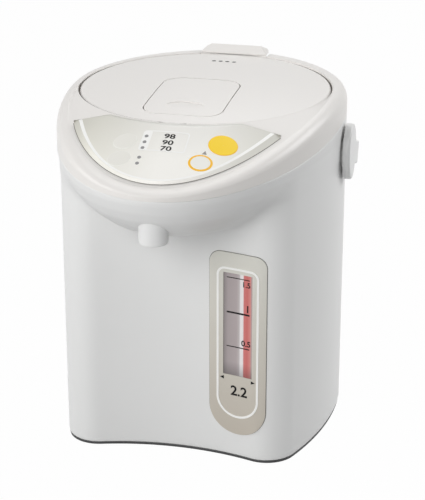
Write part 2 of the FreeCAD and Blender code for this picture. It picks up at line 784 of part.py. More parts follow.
# Lid
def lid_form(shrink=0.0, floor=None):
    """The domed lid as a solid: a skirt, a small round edge and a shallow dome."""
    half_x, half_y = d.lid_half_width - shrink, d.lid_half_depth - shrink
    base = d.lid_rim_z - d.lid_skirt_depth if floor is None else floor
    edge = 1.6
    # The dome is the cap of a ball, drawn round and stretched to the oval
    height = d.lid_dome - shrink
    rim = d.lid_rim_z - edge
    reach = half_x
    cap_radius = (reach * reach + height * height) / (2 * height)
    low = reach - d.lid_taper
    profile = [Part.LineSegment(V(0, 0, base), V(low, 0, base)).toShape(),
               Part.LineSegment(V(low, 0, base), V(reach, 0, rim)).toShape()]
    top = V(0, 0, d.lid_rim_z + height)
    start = V(reach, 0, rim)
    bend = V(reach - edge, 0, d.lid_rim_z + edge * height / reach)
    centre = V(0, 0, top.z - cap_radius)
    knee = V(reach - 0.35 * edge, 0, d.lid_rim_z - 0.35 * edge)
    profile.append(Part.Arc(start, knee, bend).toShape())
    middle = centre + ((bend + top) * 0.5 - centre).normalize() * ((bend - centre).Length)
    profile.append(Part.Arc(bend, middle, top).toShape())
    profile.append(Part.LineSegment(top, V(0, 0, base)).toShape())
    solid = Part.Face(Part.Wire(profile)).revolve(V(0, 0, 0), V(0, 0, 1), 360)
    stretch = FreeCAD.Matrix()
    stretch.scale(V(1, half_y / half_x, 1))
    solid = solid.transformGeometry(stretch)
    solid.translate(V(0, d.vessel_y, 0))
    return solid


def rounded_prism(half_width, y0, y1, corner, z0, z1):
    """An upright block with four round corners."""
    block = brick(-half_width, half_width, y0, y1, z0, z1)
    upright = [e for e in block.Edges if abs(e.Vertexes[0].Z - e.Vertexes[-1].Z) > 1]
    return block.makeFillet(corner, upright)


def lever_prism(grow, z0, z1):
    return rounded_prism(d.lever_half_width + grow, d.lever_front_y - grow, d.lever_back_y + grow,
                         d.lever_corner + grow, z0, z1)


LID = lid_form()
LID_INSIDE = lid_form(d.lid_skin, d.lid_rim_z - d.lid_skirt_depth - 5)


def make_lid_shell():
    lid = LID.cut(LID_INSIDE)
    # Pocket for the lever: a tray under the hole in the dome
    wall = lever_prism(d.lever_gap + 1.6, POCKET_Z - 1.6, d.lid_rim_z + 10).common(LID)
    lid = lid.fuse(wall).cut(lever_prism(d.lever_gap, POCKET_Z, d.lid_rim_z + 10))
    for i in range(4):
        x = (i - 1.5) * d.vent_pitch
        lid = lid.cut(rod(d.vent_radius, (x, d.vent_y, d.lid_rim_z - 20), (x, d.vent_y, d.lid_rim_z + 10)))
    # Lugs that reach back to the hinge pin
    for side in (-1, 1):
        x0, x1 = sorted((side * 13.0, side * 19.0))
        lug = brick(x0, x1, d.vessel_y + d.lid_half_depth - 7, HINGE_Y, d.hinge_z - 3.2, d.hinge_z + 3.2)
        eye = rod(4.4, (x0, HINGE_Y, d.hinge_z), (x1, HINGE_Y, d.hinge_z))
        lid = lid.fuse(lug.fuse(eye))
    pin = rod(d.hinge_pin_radius + 0.05, (-d.hinge_notch_half, HINGE_Y, d.hinge_z),
              (d.hinge_notch_half, HINGE_Y, d.hinge_z))
    lid = lid.cut(pin).cut(rod(1.2, (-PIN_HALF, PIN_Y, PIN_Z), (PIN_HALF, PIN_Y, PIN_Z)))
    lid = lid.cut(rod(1.5, (-19, RELEASE_Y, d.hinge_z), (19, RELEASE_Y, d.hinge_z)))
    # Hole for the latch bolt in the front of the skirt and the tray
    bolt = brick(-9.3, 9.3, d.vessel_y - d.lid_half_depth - 5, d.lever_front_y + 20,
                 POCKET_Z - 0.3, POCKET_Z + 3.3)
    return lid.cut(bolt)


feature("lid_shell", make_lid_shell())


# Lever in the lid, lifted at its front


def make_lid_lever():
    lowered = LID.copy()
    lowered.translate(V(0, 0, -d.lever_thickness))
    outline = rounded_prism(d.lever_half_width, d.lever_front_y, d.lever_back_y - d.lever_gap,
                            d.lever_corner, POCKET_Z, d.lid_rim_z + 10)
    lever = LID.cut(lowered).common(outline)
    bar = rod(2.6, (4.8 - PIN_HALF, PIN_Y, PIN_Z), (PIN_HALF - 4.8, PIN_Y, PIN_Z)).common(LID)
    scoop = oval_prism(d.scoop_half_width, d.scoop_half_depth, d.scoop_y,
                       d.lid_rim_z + d.lid_dome - 2.6, d.lid_rim_z + 10)
    bore = rod(1.25, (-PIN_HALF, PIN_Y, PIN_Z), (PIN_HALF, PIN_Y, PIN_Z))
    return lever.fuse(bar).cut(bore).cut(scoop)


feature("lid_lever", make_lid_lever())
feature("lever_pin", rod(1.2, (-PIN_HALF, PIN_Y, PIN_Z), (PIN_HALF, PIN_Y, PIN_Z)))

LATCH_NOSE = d.vessel_y - d.lid_half_depth - d.lid_gap + 0.5
padded_latch = padded_body("latch_slide", [
    ("-9", "Dimensions.lever_front_y + 12"), ("9", "Dimensions.lever_front_y + 12"),
    ("9", "Dimensions.vessel_y - Dimensions.lid_half_depth - Dimensions.lid_gap + 0.5"),
    ("-9", "Dimensions.vessel_y - Dimensions.lid_half_depth - Dimensions.lid_gap + 0.5"),
], "3 mm", z="Dimensions.lid_rim_z - 6.5")
keep(padded_latch, "latch_slide")

# Lid underside: steel inner plate, sealing ring, steam valve
plate_low = "Dimensions.vessel_top_z + 4.6"
plate = turned_body("lid_inner_plate", [
    ("0", plate_low), ("74", plate_low), ("79", plate_low + " + 4"), ("80.5", plate_low + " + 20"),
    ("78.9", plate_low + " + 20"), ("77.4", plate_low + " + 4.6"), ("73.4", plate_low + " + 1.2"),
    ("0", plate_low + " + 1.2"),
], y="Dimensions.vessel_y")
keep(plate, "lid_inner_plate")
seal = turned_body("lid_gasket", [
    ("75.5", plate_low + " - 3.4"), ("81.2", plate_low + " - 3.4"), ("81.2", plate_low + " - 1.6"),
    ("79.4", plate_low + " + 3.9"), ("79", plate_low + " + 4"), ("74", plate_low),
    ("75.5", plate_low),
], y="Dimensions.vessel_y")
keep(seal, "lid_gasket")
valve = turned_body("steam_valve", [
    ("3", plate_low + " + 1.2"), ("11", plate_low + " + 1.2"), ("11", plate_low + " + 17"),
    ("9.4", plate_low + " + 17"), ("9.4", plate_low + " + 2.8"), ("3", plate_low + " + 2.8"),
], y="Dimensions.vent_y")
keep(valve, "steam_valve")
ball = doc.addObject("Part::Sphere", "tip_ball")
bind(ball, Radius="4.5 mm")
place(ball, y="Dimensions.vent_y", z=plate_low + " + 6.4")
keep(ball, "tip_ball")

# Release lever behind the lid: a low hipped block on a tongue between the lid's lugs


def make_release_lever():
    half, y0, y1 = d.release_half_width, d.release_front_y, d.release_back_y
    base = d.rim_z
    ridge = y0 + 8.5
    block = brick(-half, half, y0, y1, base, base + d.release_height)
    upright = [e for e in block.Edges if e.BoundBox.ZLength > 1 and e.BoundBox.YMin > y1 - 0.1]
    block = block.makeFillet(6.0, upright)
    # Sloping front, sides and back planes cut the block to its hipped form
    front = Part.makePolygon([V(0, y0 - 1, base + 0.4), V(0, ridge, base + d.release_height),
                              V(0, ridge, base + 10), V(0, y0 - 1, base + 10), V(0, y0 - 1, base + 0.4)])
    back = Part.makePolygon([V(0, ridge, base + d.release_height), V(0, y1 + 1, base + 0.5),
                             V(0, y1 + 1, base + 10), V(0, ridge, base + 10),
                             V(0, ridge, base + d.release_height)])
    for outline in (front, back):
        wedge = Part.Face(outline).extrude(V(4 * half, 0, 0))
        wedge.translate(V(-2 * half, 0, 0))
        block = block.cut(wedge)
    for side in (-1, 1):
        flank = Part.makePolygon([V(side * (half + 1), 0, base + 0.2), V(side * (half - 5.5), 0, base + 10 * 0.48),
                                  V(side * (half + 1), 0, base + 10), V(side * (half + 1), 0, base + 0.2)])
        wedge = Part.Face(flank).extrude(V(0, 2 * y1, 0))
        block = block.cut(wedge)
    tongue = brick(-10, 10, RELEASE_Y - 3, RELEASE_Y + 3, d.hinge_z - 3, base + 0.5)
    bore = rod(1.55, (-12, RELEASE_Y, d.hinge_z), (12, RELEASE_Y, d.hinge_z))
    return block.fuse(tongue).cut(bore)


feature("release_lever", make_release_lever())
feature("release_pin", rod(1.5, (-19, RELEASE_Y, d.hinge_z), (19, RELEASE_Y, d.hinge_z)))
hinge_half = d.hinge_notch_half + 4
feature("lid_hinge_pin", rod(d.hinge_pin_radius, (-hinge_half, HINGE_Y, d.hinge_z),
                             (hinge_half, HINGE_Y, d.hinge_z)))

# Vessel and what hangs under it
D = "Dimensions."
out_r = D + "vessel_radius + " + D + "vessel_wall"
low_z = D + "vessel_floor_z - " + D + "vessel_wall"
vessel = turned_body("vessel_turned", [
    ("0", low_z), (D + "vessel_radius - " + D + "vessel_corner", low_z),
    (out_r, D + "vessel_floor_z + " + D + "vessel_corner"), (out_r, D + "vessel_top_z"),
    (D + "flange_radius", D + "vessel_top_z"),
    (D + "flange_radius", D + "vessel_top_z + " + D + "flange_thickness"),
    (D + "vessel_radius", D + "vessel_top_z + " + D + "flange_thickness"),
    (D + "vessel_radius", D + "vessel_floor_z + " + D + "vessel_corner"),
    (D + "vessel_radius - " + D + "vessel_corner", D + "vessel_floor_z"), ("0", D + "vessel_floor_z"),
], y=D + "vessel_y")
port = cylinder("vessel_port", D + "port_radius", "20 mm", D + "pump_x", D + "pump_y",
                D + "vessel_floor_z - 10")
keep(cut("inner_container", vessel, port), "inner_container")
flange_z = D + "vessel_top_z + " + D + "flange_thickness"
seal_z = flange_z + " + " + D + "gasket_height"
keep(turned_body("flange_gasket", [("82.4", flange_z), ("85.4", flange_z), ("85.4", seal_z),
                                   ("82.4", seal_z)], y=D + "vessel_y"), "flange_gasket")
heat_z = low_z + " - " + D + "heater_height"
keep(turned_body("heater", [
    (D + "heater_inner", heat_z), (D + "heater_outer", heat_z),
    (D + "heater_outer", low_z), (D + "heater_inner", low_z),
], y=D + "vessel_y"), "heater")
keep(turned_body("thermistor", [
    ("0", heat_z), ("6", heat_z), ("6", low_z + " - 3"), ("9", low_z + " - 3"), ("9", low_z), ("0", low_z),
], y=D + "vessel_y"), "thermistor")
keep(box("thermal_fuse", "22 mm", "7 mm", "5 mm", "-34", D + "vessel_y + 44", low_z + " - 5"), "thermal_fuse")


def make_cradle():
    top = d.vessel_floor_z - d.vessel_wall
    ring = Part.makeCylinder(d.cradle_inner + 2.3, d.cradle_sheet, V(0, d.vessel_y, top - d.cradle_sheet))
    ring = ring.cut(Part.makeCylinder(d.cradle_inner - 7, 3, V(0, d.vessel_y, top - 2)))
    for angle in (0, 110, 180, 250):
        x = (d.cradle_inner - 3.5) * math.cos(math.radians(angle))
        y = d.vessel_y + (d.cradle_inner - 3.5) * math.sin(math.radians(angle))
        leg = brick(-d.cradle_sheet, d.cradle_sheet, -d.cradle_leg_width / 2, d.cradle_leg_width / 2,
                    d.base_plate_z, top - 0.5)
        foot = brick(-d.cradle_sheet, 6, -d.cradle_leg_width / 2, d.cradle_leg_width / 2,
                     d.base_plate_z, d.base_plate_z + 1.5)
        leg = leg.fuse(foot)
        leg.Placement = FreeCAD.Placement(V(x, y, 0), FreeCAD.Rotation(V(0, 0, 1), angle))
        ring = ring.fuse(leg)
    return ring.cut(rod(12.5, (d.pump_x, d.pump_y, 50), (d.pump_x, d.pump_y, 62)))


feature("vessel_cradle", make_cradle())

# Pump under the vessel's port
pz, pw, pr = D + "pump_bottom_z", D + "pump_wall", D + "pump_radius"
ph = pz + " + " + D + "pump_height"
housing = turned_body("pump_turned", [
    ("3.2", pz), (pr, pz), (pr, ph), ("7", ph), ("7", D + "vessel_floor_z"), ("5", D + "vessel_floor_z"),
    ("5", ph + " - " + pw), (pr + " - " + pw, ph + " - " + pw), (pr + " - " + pw, pz + " + " + pw),
    ("3.2", pz + " + " + pw),
], x=D + "pump_x", y=D + "pump_y")
STUB = V(d.gauge_tube_x - d.pump_x, d.gauge_tube_y - d.pump_y, 0).normalize()
STUB_Z = d.pump_bottom_z + d.pump_height / 2


def along_stub(distance):
    return (d.pump_x + STUB.x * distance, d.pump_y + STUB.y * distance, STUB_Z)


doc.recompute()


def make_pump_housing():
    shell = housing.Shape.fuse(rod(5.0, along_stub(d.pump_radius - 1.5), along_stub(d.pump_radius + 9)))
    return shell.cut(rod(3.3, along_stub(d.pump_radius - 5), along_stub(d.pump_radius + 12)))


feature("pump_housing", make_pump_housing())
keep(turned_body("pump_seal", [
    ("7", low_z + " - 6"), ("11", low_z + " - 6"), ("11", low_z), (D + "port_radius", low_z),
    (D + "port_radius", D + "vessel_floor_z"), ("10.5", D + "vessel_floor_z"),
    ("10.5", D + "vessel_floor_z + 1.5"), ("7", D + "vessel_floor_z + 1.5"),
], x=D + "pump_x", y=D + "pump_y"), "pump_seal")
keep(turned_body("pump_motor", [
    ("0", pz + " - " + D + "motor_height"), (D + "motor_radius", pz + " - " + D + "motor_height"),
    (D + "motor_radius", pz + " - 1.5"), ("9", pz + " - 1.5"), ("9", pz), ("6", pz), ("6", pz + " - 0.6"),
    ("0", pz + " - 0.6"),
], x=D + "pump_x", y=D + "pump_y"), "pump_motor")


def make_impeller():
    x, y, z = d.pump_x, d.pump_y, d.pump_bottom_z
    wheel = rod(2.5, (x, y, z - 0.2), (x, y, z + 9)).fuse(rod(14.5, (x, y, z + 3.5), (x, y, z + 5)))
    for i in range(6):
        vane = brick(2, 13.5, -0.8, 0.8, z + 4.8, z + 10)
        vane.Placement = FreeCAD.Placement(V(x, y, 0), FreeCAD.Rotation(V(0, 0, 1), 60 * i))
        wheel = wheel.fuse(vane)
    return wheel


feature("pump_impeller", make_impeller())


def make_delivery_elbow():
    x, y = d.gauge_tube_x, d.gauge_tube_y
    start, turn = along_stub(d.pump_radius + 2), (x, y, STUB_Z)
    outer = rod(6.5, start, turn).fuse(rod(6.0, turn, (x, y, 64))).fuse(Part.makeSphere(6.5, V(*turn)))
    inner = rod(5.0, start, along_stub(d.pump_radius + 9)).fuse(rod(3.3, start, turn))
    inner = inner.fuse(rod(3.3, turn, (x, y, 60))).fuse(Part.makeSphere(3.3, V(*turn)))
    return outer.cut(inner.fuse(rod(d.gauge_tube_radius, (x, y, d.gauge_tube_bottom_z), (x, y, 70))))


feature("delivery_elbow", make_delivery_elbow())
keep(turned_body("gauge_tube", [
    (D + "gauge_tube_bore", D + "gauge_tube_bottom_z"), (D + "gauge_tube_radius", D + "gauge_tube_bottom_z"),
    (D + "gauge_tube_radius", D + "gauge_tube_top_z"), (D + "gauge_tube_bore", D + "gauge_tube_top_z"),
], x=D + "gauge_tube_x", y=D + "gauge_tube_y"), "gauge_tube")


def make_outlet_pipe():
    corner = (d.gauge_tube_x, d.gauge_tube_y, d.outlet_pipe_z)
    end = (0, d.nozzle_y, d.outlet_pipe_z)
    low = (d.gauge_tube_x, d.gauge_tube_y, d.gauge_tube_top_z - 8)
    tip = (0, d.nozzle_y, d.nozzle_top_z - 6)
    outer = rod(6.0, low, corner).fuse(rod(6.0, corner, end)).fuse(rod(6.0, end, tip))
    outer = outer.fuse(Part.makeSphere(6.0, V(*corner))).fuse(Part.makeSphere(6.0, V(*end)))
    inner = rod(3.3, low, corner).fuse(rod(3.3, corner, end)).fuse(rod(3.3, end, tip))
    inner = inner.fuse(Part.makeSphere(3.3, V(*corner))).fuse(Part.makeSphere(3.3, V(*end)))
    socket = rod(d.gauge_tube_radius, low, (d.gauge_tube_x, d.gauge_tube_y, d.gauge_tube_top_z))
    return outer.cut(inner.fuse(socket))


feature("outlet_pipe", make_outlet_pipe())
nr = D + "nozzle_radius"
keep(turned_body("spout_nozzle", [
    (D + "nozzle_bore", D + "nozzle_tip_z"), (nr + " - 1.1", D + "nozzle_tip_z"),
    (nr + " - 0.3", D + "nozzle_tip_z + 0.4"), (nr, D + "nozzle_tip_z + 1.3"), (nr, D + "nozzle_top_z"),
    ("6.0", D + "nozzle_top_z"), ("6.0", D + "nozzle_top_z - 6"), (D + "nozzle_bore", D + "nozzle_top_z - 6"),
], y=D + "nozzle_y"), "spout_nozzle")


# Gauge window on the front
def front_layer(inner, outer, prism):
    """A layer of the case's front face between two offsets, within an upright outline."""
    return column(outer, 10, 170).cut(column(inner, 5, 175)).common(prism)


def gauge_prism(half_width, z0, z1, top_radius):
    return round_slot(half_width, z0, z1, d.front_hollow_y - 20, d.front_hollow_y + 5, d.gauge_x, top_radius)


LENS = brick(d.gauge_x - d.lens_half_width, d.gauge_x + d.lens_half_width, d.front_hollow_y - 20,
             d.front_hollow_y + 5, d.lens_bottom_z, d.lens_top_z)


def make_gauge_surround():
    face = gauge_prism(d.surround_half_width, d.surround_bottom_z, d.surround_top_z, 8)
    plug = gauge_prism(d.surround_half_width - 3.1, d.surround_bottom_z + 3.1, d.surround_top_z - 3.1, 5.9)
    body = front_layer(0, d.surround_proud, face).fuse(front_layer(-d.case_wall, 0.1, plug))
    # Channel behind the window in which the sight tube and the scale plate stand
    x0, x1 = d.gauge_x - 13.2, d.gauge_x + 13.2
    back = d.gauge_tube_y + d.gauge_tube_radius + 2.2
    walls = brick(x0, x1, d.front_hollow_y - 12, back, 66, 142)
    walls = walls.cut(brick(x0 + 1.2, x1 - 1.2, d.front_hollow_y - 20, back + 5, 60, 150))
    body = body.fuse(walls.common(column(-d.case_wall + 0.1, 60, 150)))
    groove = gauge_prism(d.frame_half_width, d.frame_bottom_z, d.frame_top_z, 6).cut(
        gauge_prism(d.frame_half_width - d.frame_band, d.frame_bottom_z + d.frame_band,
                    d.frame_top_z - d.frame_band, 4.5))
    return body.cut(front_layer(0.2, 3, groove)).cut(LENS)


feature("gauge_surround", make_gauge_surround())
band = gauge_prism(d.frame_half_width, d.frame_bottom_z, d.frame_top_z, 6).cut(
    gauge_prism(d.frame_half_width - d.frame_band, d.frame_bottom_z + d.frame_band,
                d.frame_top_z - d.frame_band, 4.5))
feature("gauge_frame", front_layer(0.2, d.surround_proud + 0.3, band))
feature("gauge_lens", front_layer(d.surround_proud - 0.3 - d.lens_thickness, d.surround_proud - 0.3, LENS))
plate_y = D + "gauge_tube_y + " + D + "gauge_tube_radius + 1.4"
keep(box("gauge_scale", "24 mm", D + "scale_plate_thickness", "76 mm", D + "gauge_x - 12", plate_y, "66"),
     "gauge_scale")


# Carrying handle: a bail on two pins, hanging a little behind the case
def make_handle():
    inner, thick = d.handle_inner_half, d.handle_thickness
    bend = d.pivot_y + d.handle_straight
    deep = d.case_oval_y + d.case_back_reach + d.handle_behind - bend
    grip = 6.0
    z0 = d.pivot_z - d.handle_height / 2

    def outline(half, far):
        back = oval_edge(half, far, bend, z0, 0, 180)
        a, b = V(half, bend, z0), V(-half, bend, z0)
        a0, b0 = V(half, d.pivot_y, z0), V(-half, d.pivot_y, z0)
        return Part.Face(Part.Wire(Part.__sortEdges__([
            back, Part.LineSegment(b, b0).toShape(), Part.LineSegment(b0, a0).toShape(),
            Part.LineSegment(a0, a).toShape()])))

    tall = V(0, 0, d.handle_height)
    bail = outline(inner + thick, deep + grip).extrude(tall)
    bail = bail.cut(outline(inner, deep).extrude(tall))
    edges = [e for e in bail.Edges if e.BoundBox.ZLength < 0.01 and e.BoundBox.YMax > bend + 1]
    bail = bail.makeFillet(1.7, edges)
    turn = FreeCAD.Placement(V(0, 0, 0), FreeCAD.Rotation(V(1, 0, 0), -d.handle_droop),
                             V(0, d.pivot_y, d.pivot_z))
    bail.Placement = turn.multiply(bail.Placement)
    for side in (-1, 1):
        face = oval_prism(d.ear_half_height, d.ear_half_length, 0, 0, thick + 1.0)
        rim = [e for e in face.Edges if e.BoundBox.ZMin > thick]
        ear = face.makeFillet(1.6, rim)
        ear.Placement = FreeCAD.Placement(V(side * inner, d.pivot_y, d.pivot_z),
                                          FreeCAD.Rotation(V(0, 1, 0), 90 * side))
        bore = rod(d.pivot_pin_radius + d.pivot_fit, (side * (inner - 1), d.pivot_y, d.pivot_z),
                   (side * (inner + 3.4), d.pivot_y, d.pivot_z))
        bail = bail.fuse(ear).cut(bore)
    return bail


feature("handle", make_handle())
pins = [rod(d.pivot_pin_radius, (s * (d.case_half_width - 6), d.pivot_y, d.pivot_z),
            (s * (d.handle_inner_half + 3.1), d.pivot_y, d.pivot_z)) for s in (-1, 1)]
feature("handle_pivots", Part.makeCompound(pins))


# Base cover, feet and screws
def foot_places():
    return [(s * d.foot_x, y) for y in (d.foot_front_y, d.foot_back_y) for s in (-1, 1)]


def make_base_cover():
    base = column(-0.6, d.base_flange_bottom_z, d.case_bottom_z)
    base = base.fuse(column(-d.case_wall - d.fit_gap, d.case_bottom_z - 0.1, d.base_wall_top_z))
    base = base.cut(column(-d.case_wall - d.fit_gap - 1.6, d.base_plate_z, d.base_wall_top_z + 5))
    for x, y in post_places():
        base = base.cut(rod(d.post_radius + d.fit_gap, (x, y, d.base_plate_z), (x, y, 20)))
        base = base.cut(rod(d.screw_radius, (x, y, -1), (x, y, 5)))
        base = base.cut(rod(d.screw_head_radius + 0.3, (x, y, -1), (x, y, 2.0)))
    for x, y in foot_places():
        base = base.cut(rod(d.foot_radius, (x, y, -1), (x, y, d.foot_height)))
    support = rod(10, (d.pump_x, d.pump_y, d.base_plate_z - 0.5),
                  (d.pump_x, d.pump_y, d.pump_bottom_z - d.motor_height))
    return base.fuse(support)


feature("base_cover", make_base_cover())
feature("rubber_feet", Part.makeCompound([rod(d.foot_radius, (x, y, 0), (x, y, d.foot_height))
                                          for x, y in foot_places()]))
screws = []
for x, y in post_places():
    head = rod(d.screw_head_radius, (x, y, 0.9), (x, y, 2.0))
    cross = brick(x - 2, x + 2, y - 0.5, y + 0.5, 0.5, 1.4).fuse(brick(x - 0.5, x + 0.5, y - 2, y + 2, 0.5, 1.4))
    screws.append(head.fuse(rod(d.screw_radius, (x, y, 2.0), (x, y, 22))).cut(cross))
feature("base_screws", Part.makeCompound(screws))


# Power inlet low on the back
def make_power_inlet():
    half, z0, z1 = d.inlet_half_width, d.inlet_bottom_z, d.inlet_top_z
    back = d.case_oval_y + d.case_back_reach + 5
    body = brick(-half, half, d.inlet_front_y, back, z0, z1).common(column(-0.2, z0 - 5, z1 + 5))
    flange = brick(-half - 4, half + 4, d.inlet_front_y + 2, back, z0 - 4, z1 + 4)
    body = body.fuse(flange.common(column(-d.case_wall, z0 - 8, z1 + 8)))
    w = d.inlet_wall
    body = body.cut(brick(-half + w, half - w, d.inlet_front_y + w, back, z0 + w, z1 - w))
    for s in (-1, 1):
        x = s * d.contact_pitch / 2
        body = body.cut(rod(d.contact_radius, (x, 95, (z0 + z1) / 2), (x, 112, (z0 + z1) / 2)))
    return body


feature("power_inlet", make_power_inlet())
mid_z = (d.inlet_bottom_z + d.inlet_top_z) / 2
contacts = [rod(d.contact_radius, (s * d.contact_pitch / 2, 102, mid_z), (s * d.contact_pitch / 2, 117, mid_z))
            for s in (-1, 1)]
feature("inlet_contacts", Part.makeCompound(contacts))
magnets = [brick(s * 11.5 - 1.7, s * 11.5 + 1.7, d.inlet_front_y + 2, d.inlet_front_y + 4.2, mid_z - 5, mid_z + 5)
           for s in (-1, 1)]
feature("inlet_magnets", Part.makeCompound(magnets))

# Power board behind the vessel
keep(box("power_board", "2 * " + D + "power_board_half_width", D + "board_thickness",
         D + "power_board_top_z - " + D + "power_board_bottom_z", "-" + D + "power_board_half_width",
         D + "power_board_y", D + "power_board_bottom_z"), "power_board")
blocks = [brick(-28, -8, 90, d.power_board_y, 112, 140), brick(8, 26, 89.5, d.power_board_y, 80, 98),
          brick(-26, -12, 91, d.power_board_y, 76, 90), brick(4, 14, 92, d.power_board_y, 118, 136)]
feature("power_components", Part.makeCompound(blocks))

# Check every object, then write one file for each sub-part
doc.recompute()
for item in doc.Objects:
    states = set(item.State)
    if states & {"Invalid", "Error"}:
        raise RuntimeError("%s is in state %s" % (item.Label, item.State))
os.makedirs("parts", exist_ok=True)
for item in parts:
    shape = item.Shape
    if shape.isNull() or not shape.isValid() or not shape.Solids:
        raise RuntimeError("%s has no valid solid" % item.Label)
    print("%-18s %2d solid(s) %10.1f mm3" % (item.Label, len(shape.Solids), shape.Volume))
    shape.exportStep("parts/%s.step" % item.Label)
print(len(parts), "parts")
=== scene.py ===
import math

import bmesh
import bpy
import numpy as np
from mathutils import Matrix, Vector


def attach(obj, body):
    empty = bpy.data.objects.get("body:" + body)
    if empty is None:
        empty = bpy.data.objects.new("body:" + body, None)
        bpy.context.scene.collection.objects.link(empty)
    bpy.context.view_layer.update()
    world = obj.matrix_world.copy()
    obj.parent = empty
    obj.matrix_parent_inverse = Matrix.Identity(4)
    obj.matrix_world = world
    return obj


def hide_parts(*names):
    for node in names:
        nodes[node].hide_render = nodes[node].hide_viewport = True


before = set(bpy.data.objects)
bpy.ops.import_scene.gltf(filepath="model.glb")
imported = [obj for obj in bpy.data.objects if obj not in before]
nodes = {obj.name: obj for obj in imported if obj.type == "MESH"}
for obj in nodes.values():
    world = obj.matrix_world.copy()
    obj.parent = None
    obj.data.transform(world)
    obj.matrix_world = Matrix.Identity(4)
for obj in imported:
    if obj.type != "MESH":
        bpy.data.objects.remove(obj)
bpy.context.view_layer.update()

scene = bpy.context.scene

# Floor, light and camera
# A pale sheet under soft window-like lamps, seen from a little right of the front and above.

scene.view_settings.view_transform = "Standard"


def new_tree(name):
    """A node material with an empty tree and its output."""
    mat = bpy.data.materials.new(name)
    mat.use_nodes = True
    tree = mat.node_tree
    tree.nodes.clear()
    return mat, tree, tree.nodes.new("ShaderNodeOutputMaterial")


def seen_directly(tree):
    """1 for camera, mirror and glass rays, 0 for the light that falls on things."""
    path = tree.nodes.new("ShaderNodeLightPath")
    total = None
    for ray in ("Is Camera Ray", "Is Glossy Ray", "Is Transmission Ray"):
        if total is None:
            total = path.outputs[ray]
            continue
        join = tree.nodes.new("ShaderNodeMath")
        join.operation = "MAXIMUM"
        tree.links.new(total, join.inputs[0])
        tree.links.new(path.outputs[ray], join.inputs[1])
        total = join.outputs[0]
    return total


mat, tree, out = new_tree("floor_paper")
diffuse = tree.nodes.new("ShaderNodeBsdfDiffuse")
diffuse.inputs["Color"].default_value = (0.5, 0.5, 0.5, 1)
glow = tree.nodes.new("ShaderNodeEmission")
glow.inputs["Strength"].default_value = 1.0
share = tree.nodes.new("ShaderNodeMath")
share.operation = "MULTIPLY"
share.inputs[1].default_value = 0.985
tree.links.new(seen_directly(tree), share.inputs[0])
mix = tree.nodes.new("ShaderNodeMixShader")
tree.links.new(share.outputs[0], mix.inputs["Fac"])
tree.links.new(diffuse.outputs[0], mix.inputs[1])
tree.links.new(glow.outputs[0], mix.inputs[2])
tree.links.new(mix.outputs[0], out.inputs["Surface"])
floor_mesh = bpy.data.meshes.new("floor")
floor_mesh.from_pydata([(-4, -4, 0), (4, -4, 0), (4, 4, 0), (-4, 4, 0)], [], [(0, 1, 2, 3)])
floor_mesh.materials.append(mat)
floor = bpy.data.objects.new("floor", floor_mesh)
scene.collection.objects.link(floor)

world = bpy.data.worlds.new("studio")
scene.world = world
world.use_nodes = True
tree = world.node_tree
tree.nodes.clear()
sky = tree.nodes.new("ShaderNodeBackground")
sky.inputs["Color"].default_value = (0.95, 0.97, 1.0, 1)
sky.inputs["Strength"].default_value = 0.22
plain = tree.nodes.new("ShaderNodeBackground")
plain.inputs["Strength"].default_value = 1.0
mix = tree.nodes.new("ShaderNodeMixShader")
out = tree.nodes.new("ShaderNodeOutputWorld")
tree.links.new(seen_directly(tree), mix.inputs["Fac"])
tree.links.new(sky.outputs[0], mix.inputs[1])
tree.links.new(plain.outputs[0], mix.inputs[2])
tree.links.new(mix.outputs[0], out.inputs["Surface"])


def lamp(name, turn, rise, power):
    """A square soft lamp 1.6 m from the pot, at an angle round it and an angle above the floor."""
    light = bpy.data.lights.new(name, "AREA")
    light.shape = "RECTANGLE"
    light.size, light.size_y = 0.9, 0.9
    light.energy = power
    item = bpy.data.objects.new(name, light)
    middle, turn, rise = Vector((0, 0, 0.12)), math.radians(turn), math.radians(rise)
    level = math.cos(rise)
    away = Vector((math.cos(turn) * level, math.sin(turn) * level, math.sin(rise)))
    item.location = middle + 1.6 * away
    item.rotation_euler = (-away).to_track_quat("-Z", "Y").to_euler()
    item.visible_camera = False
    scene.collection.objects.link(item)


lamp("front_left", -105, 25, 13.7)
lamp("right", 30, 30, 12.5)
lamp("left", -168, 36, 6.8)
lamp("behind", 90, 50, 4.8)

camera = bpy.data.objects.new("camera", bpy.data.cameras.new("camera"))
camera.location = (0.2739, -1.1169, 0.5705)
aim = Vector((0.00628, 0.00154, 0.12127))
camera.rotation_euler = (aim - camera.location).to_track_quat("-Z", "Y").to_euler()
camera.data.sensor_width = 36
camera.data.lens = 122.75
camera.data.clip_start = 0.05
scene.collection.objects.link(camera)
scene.camera = camera

# Case bottom: base cover, feet and screws
# The cover is a black moulded tray held by four screws. The feet are rubber pads let into it.


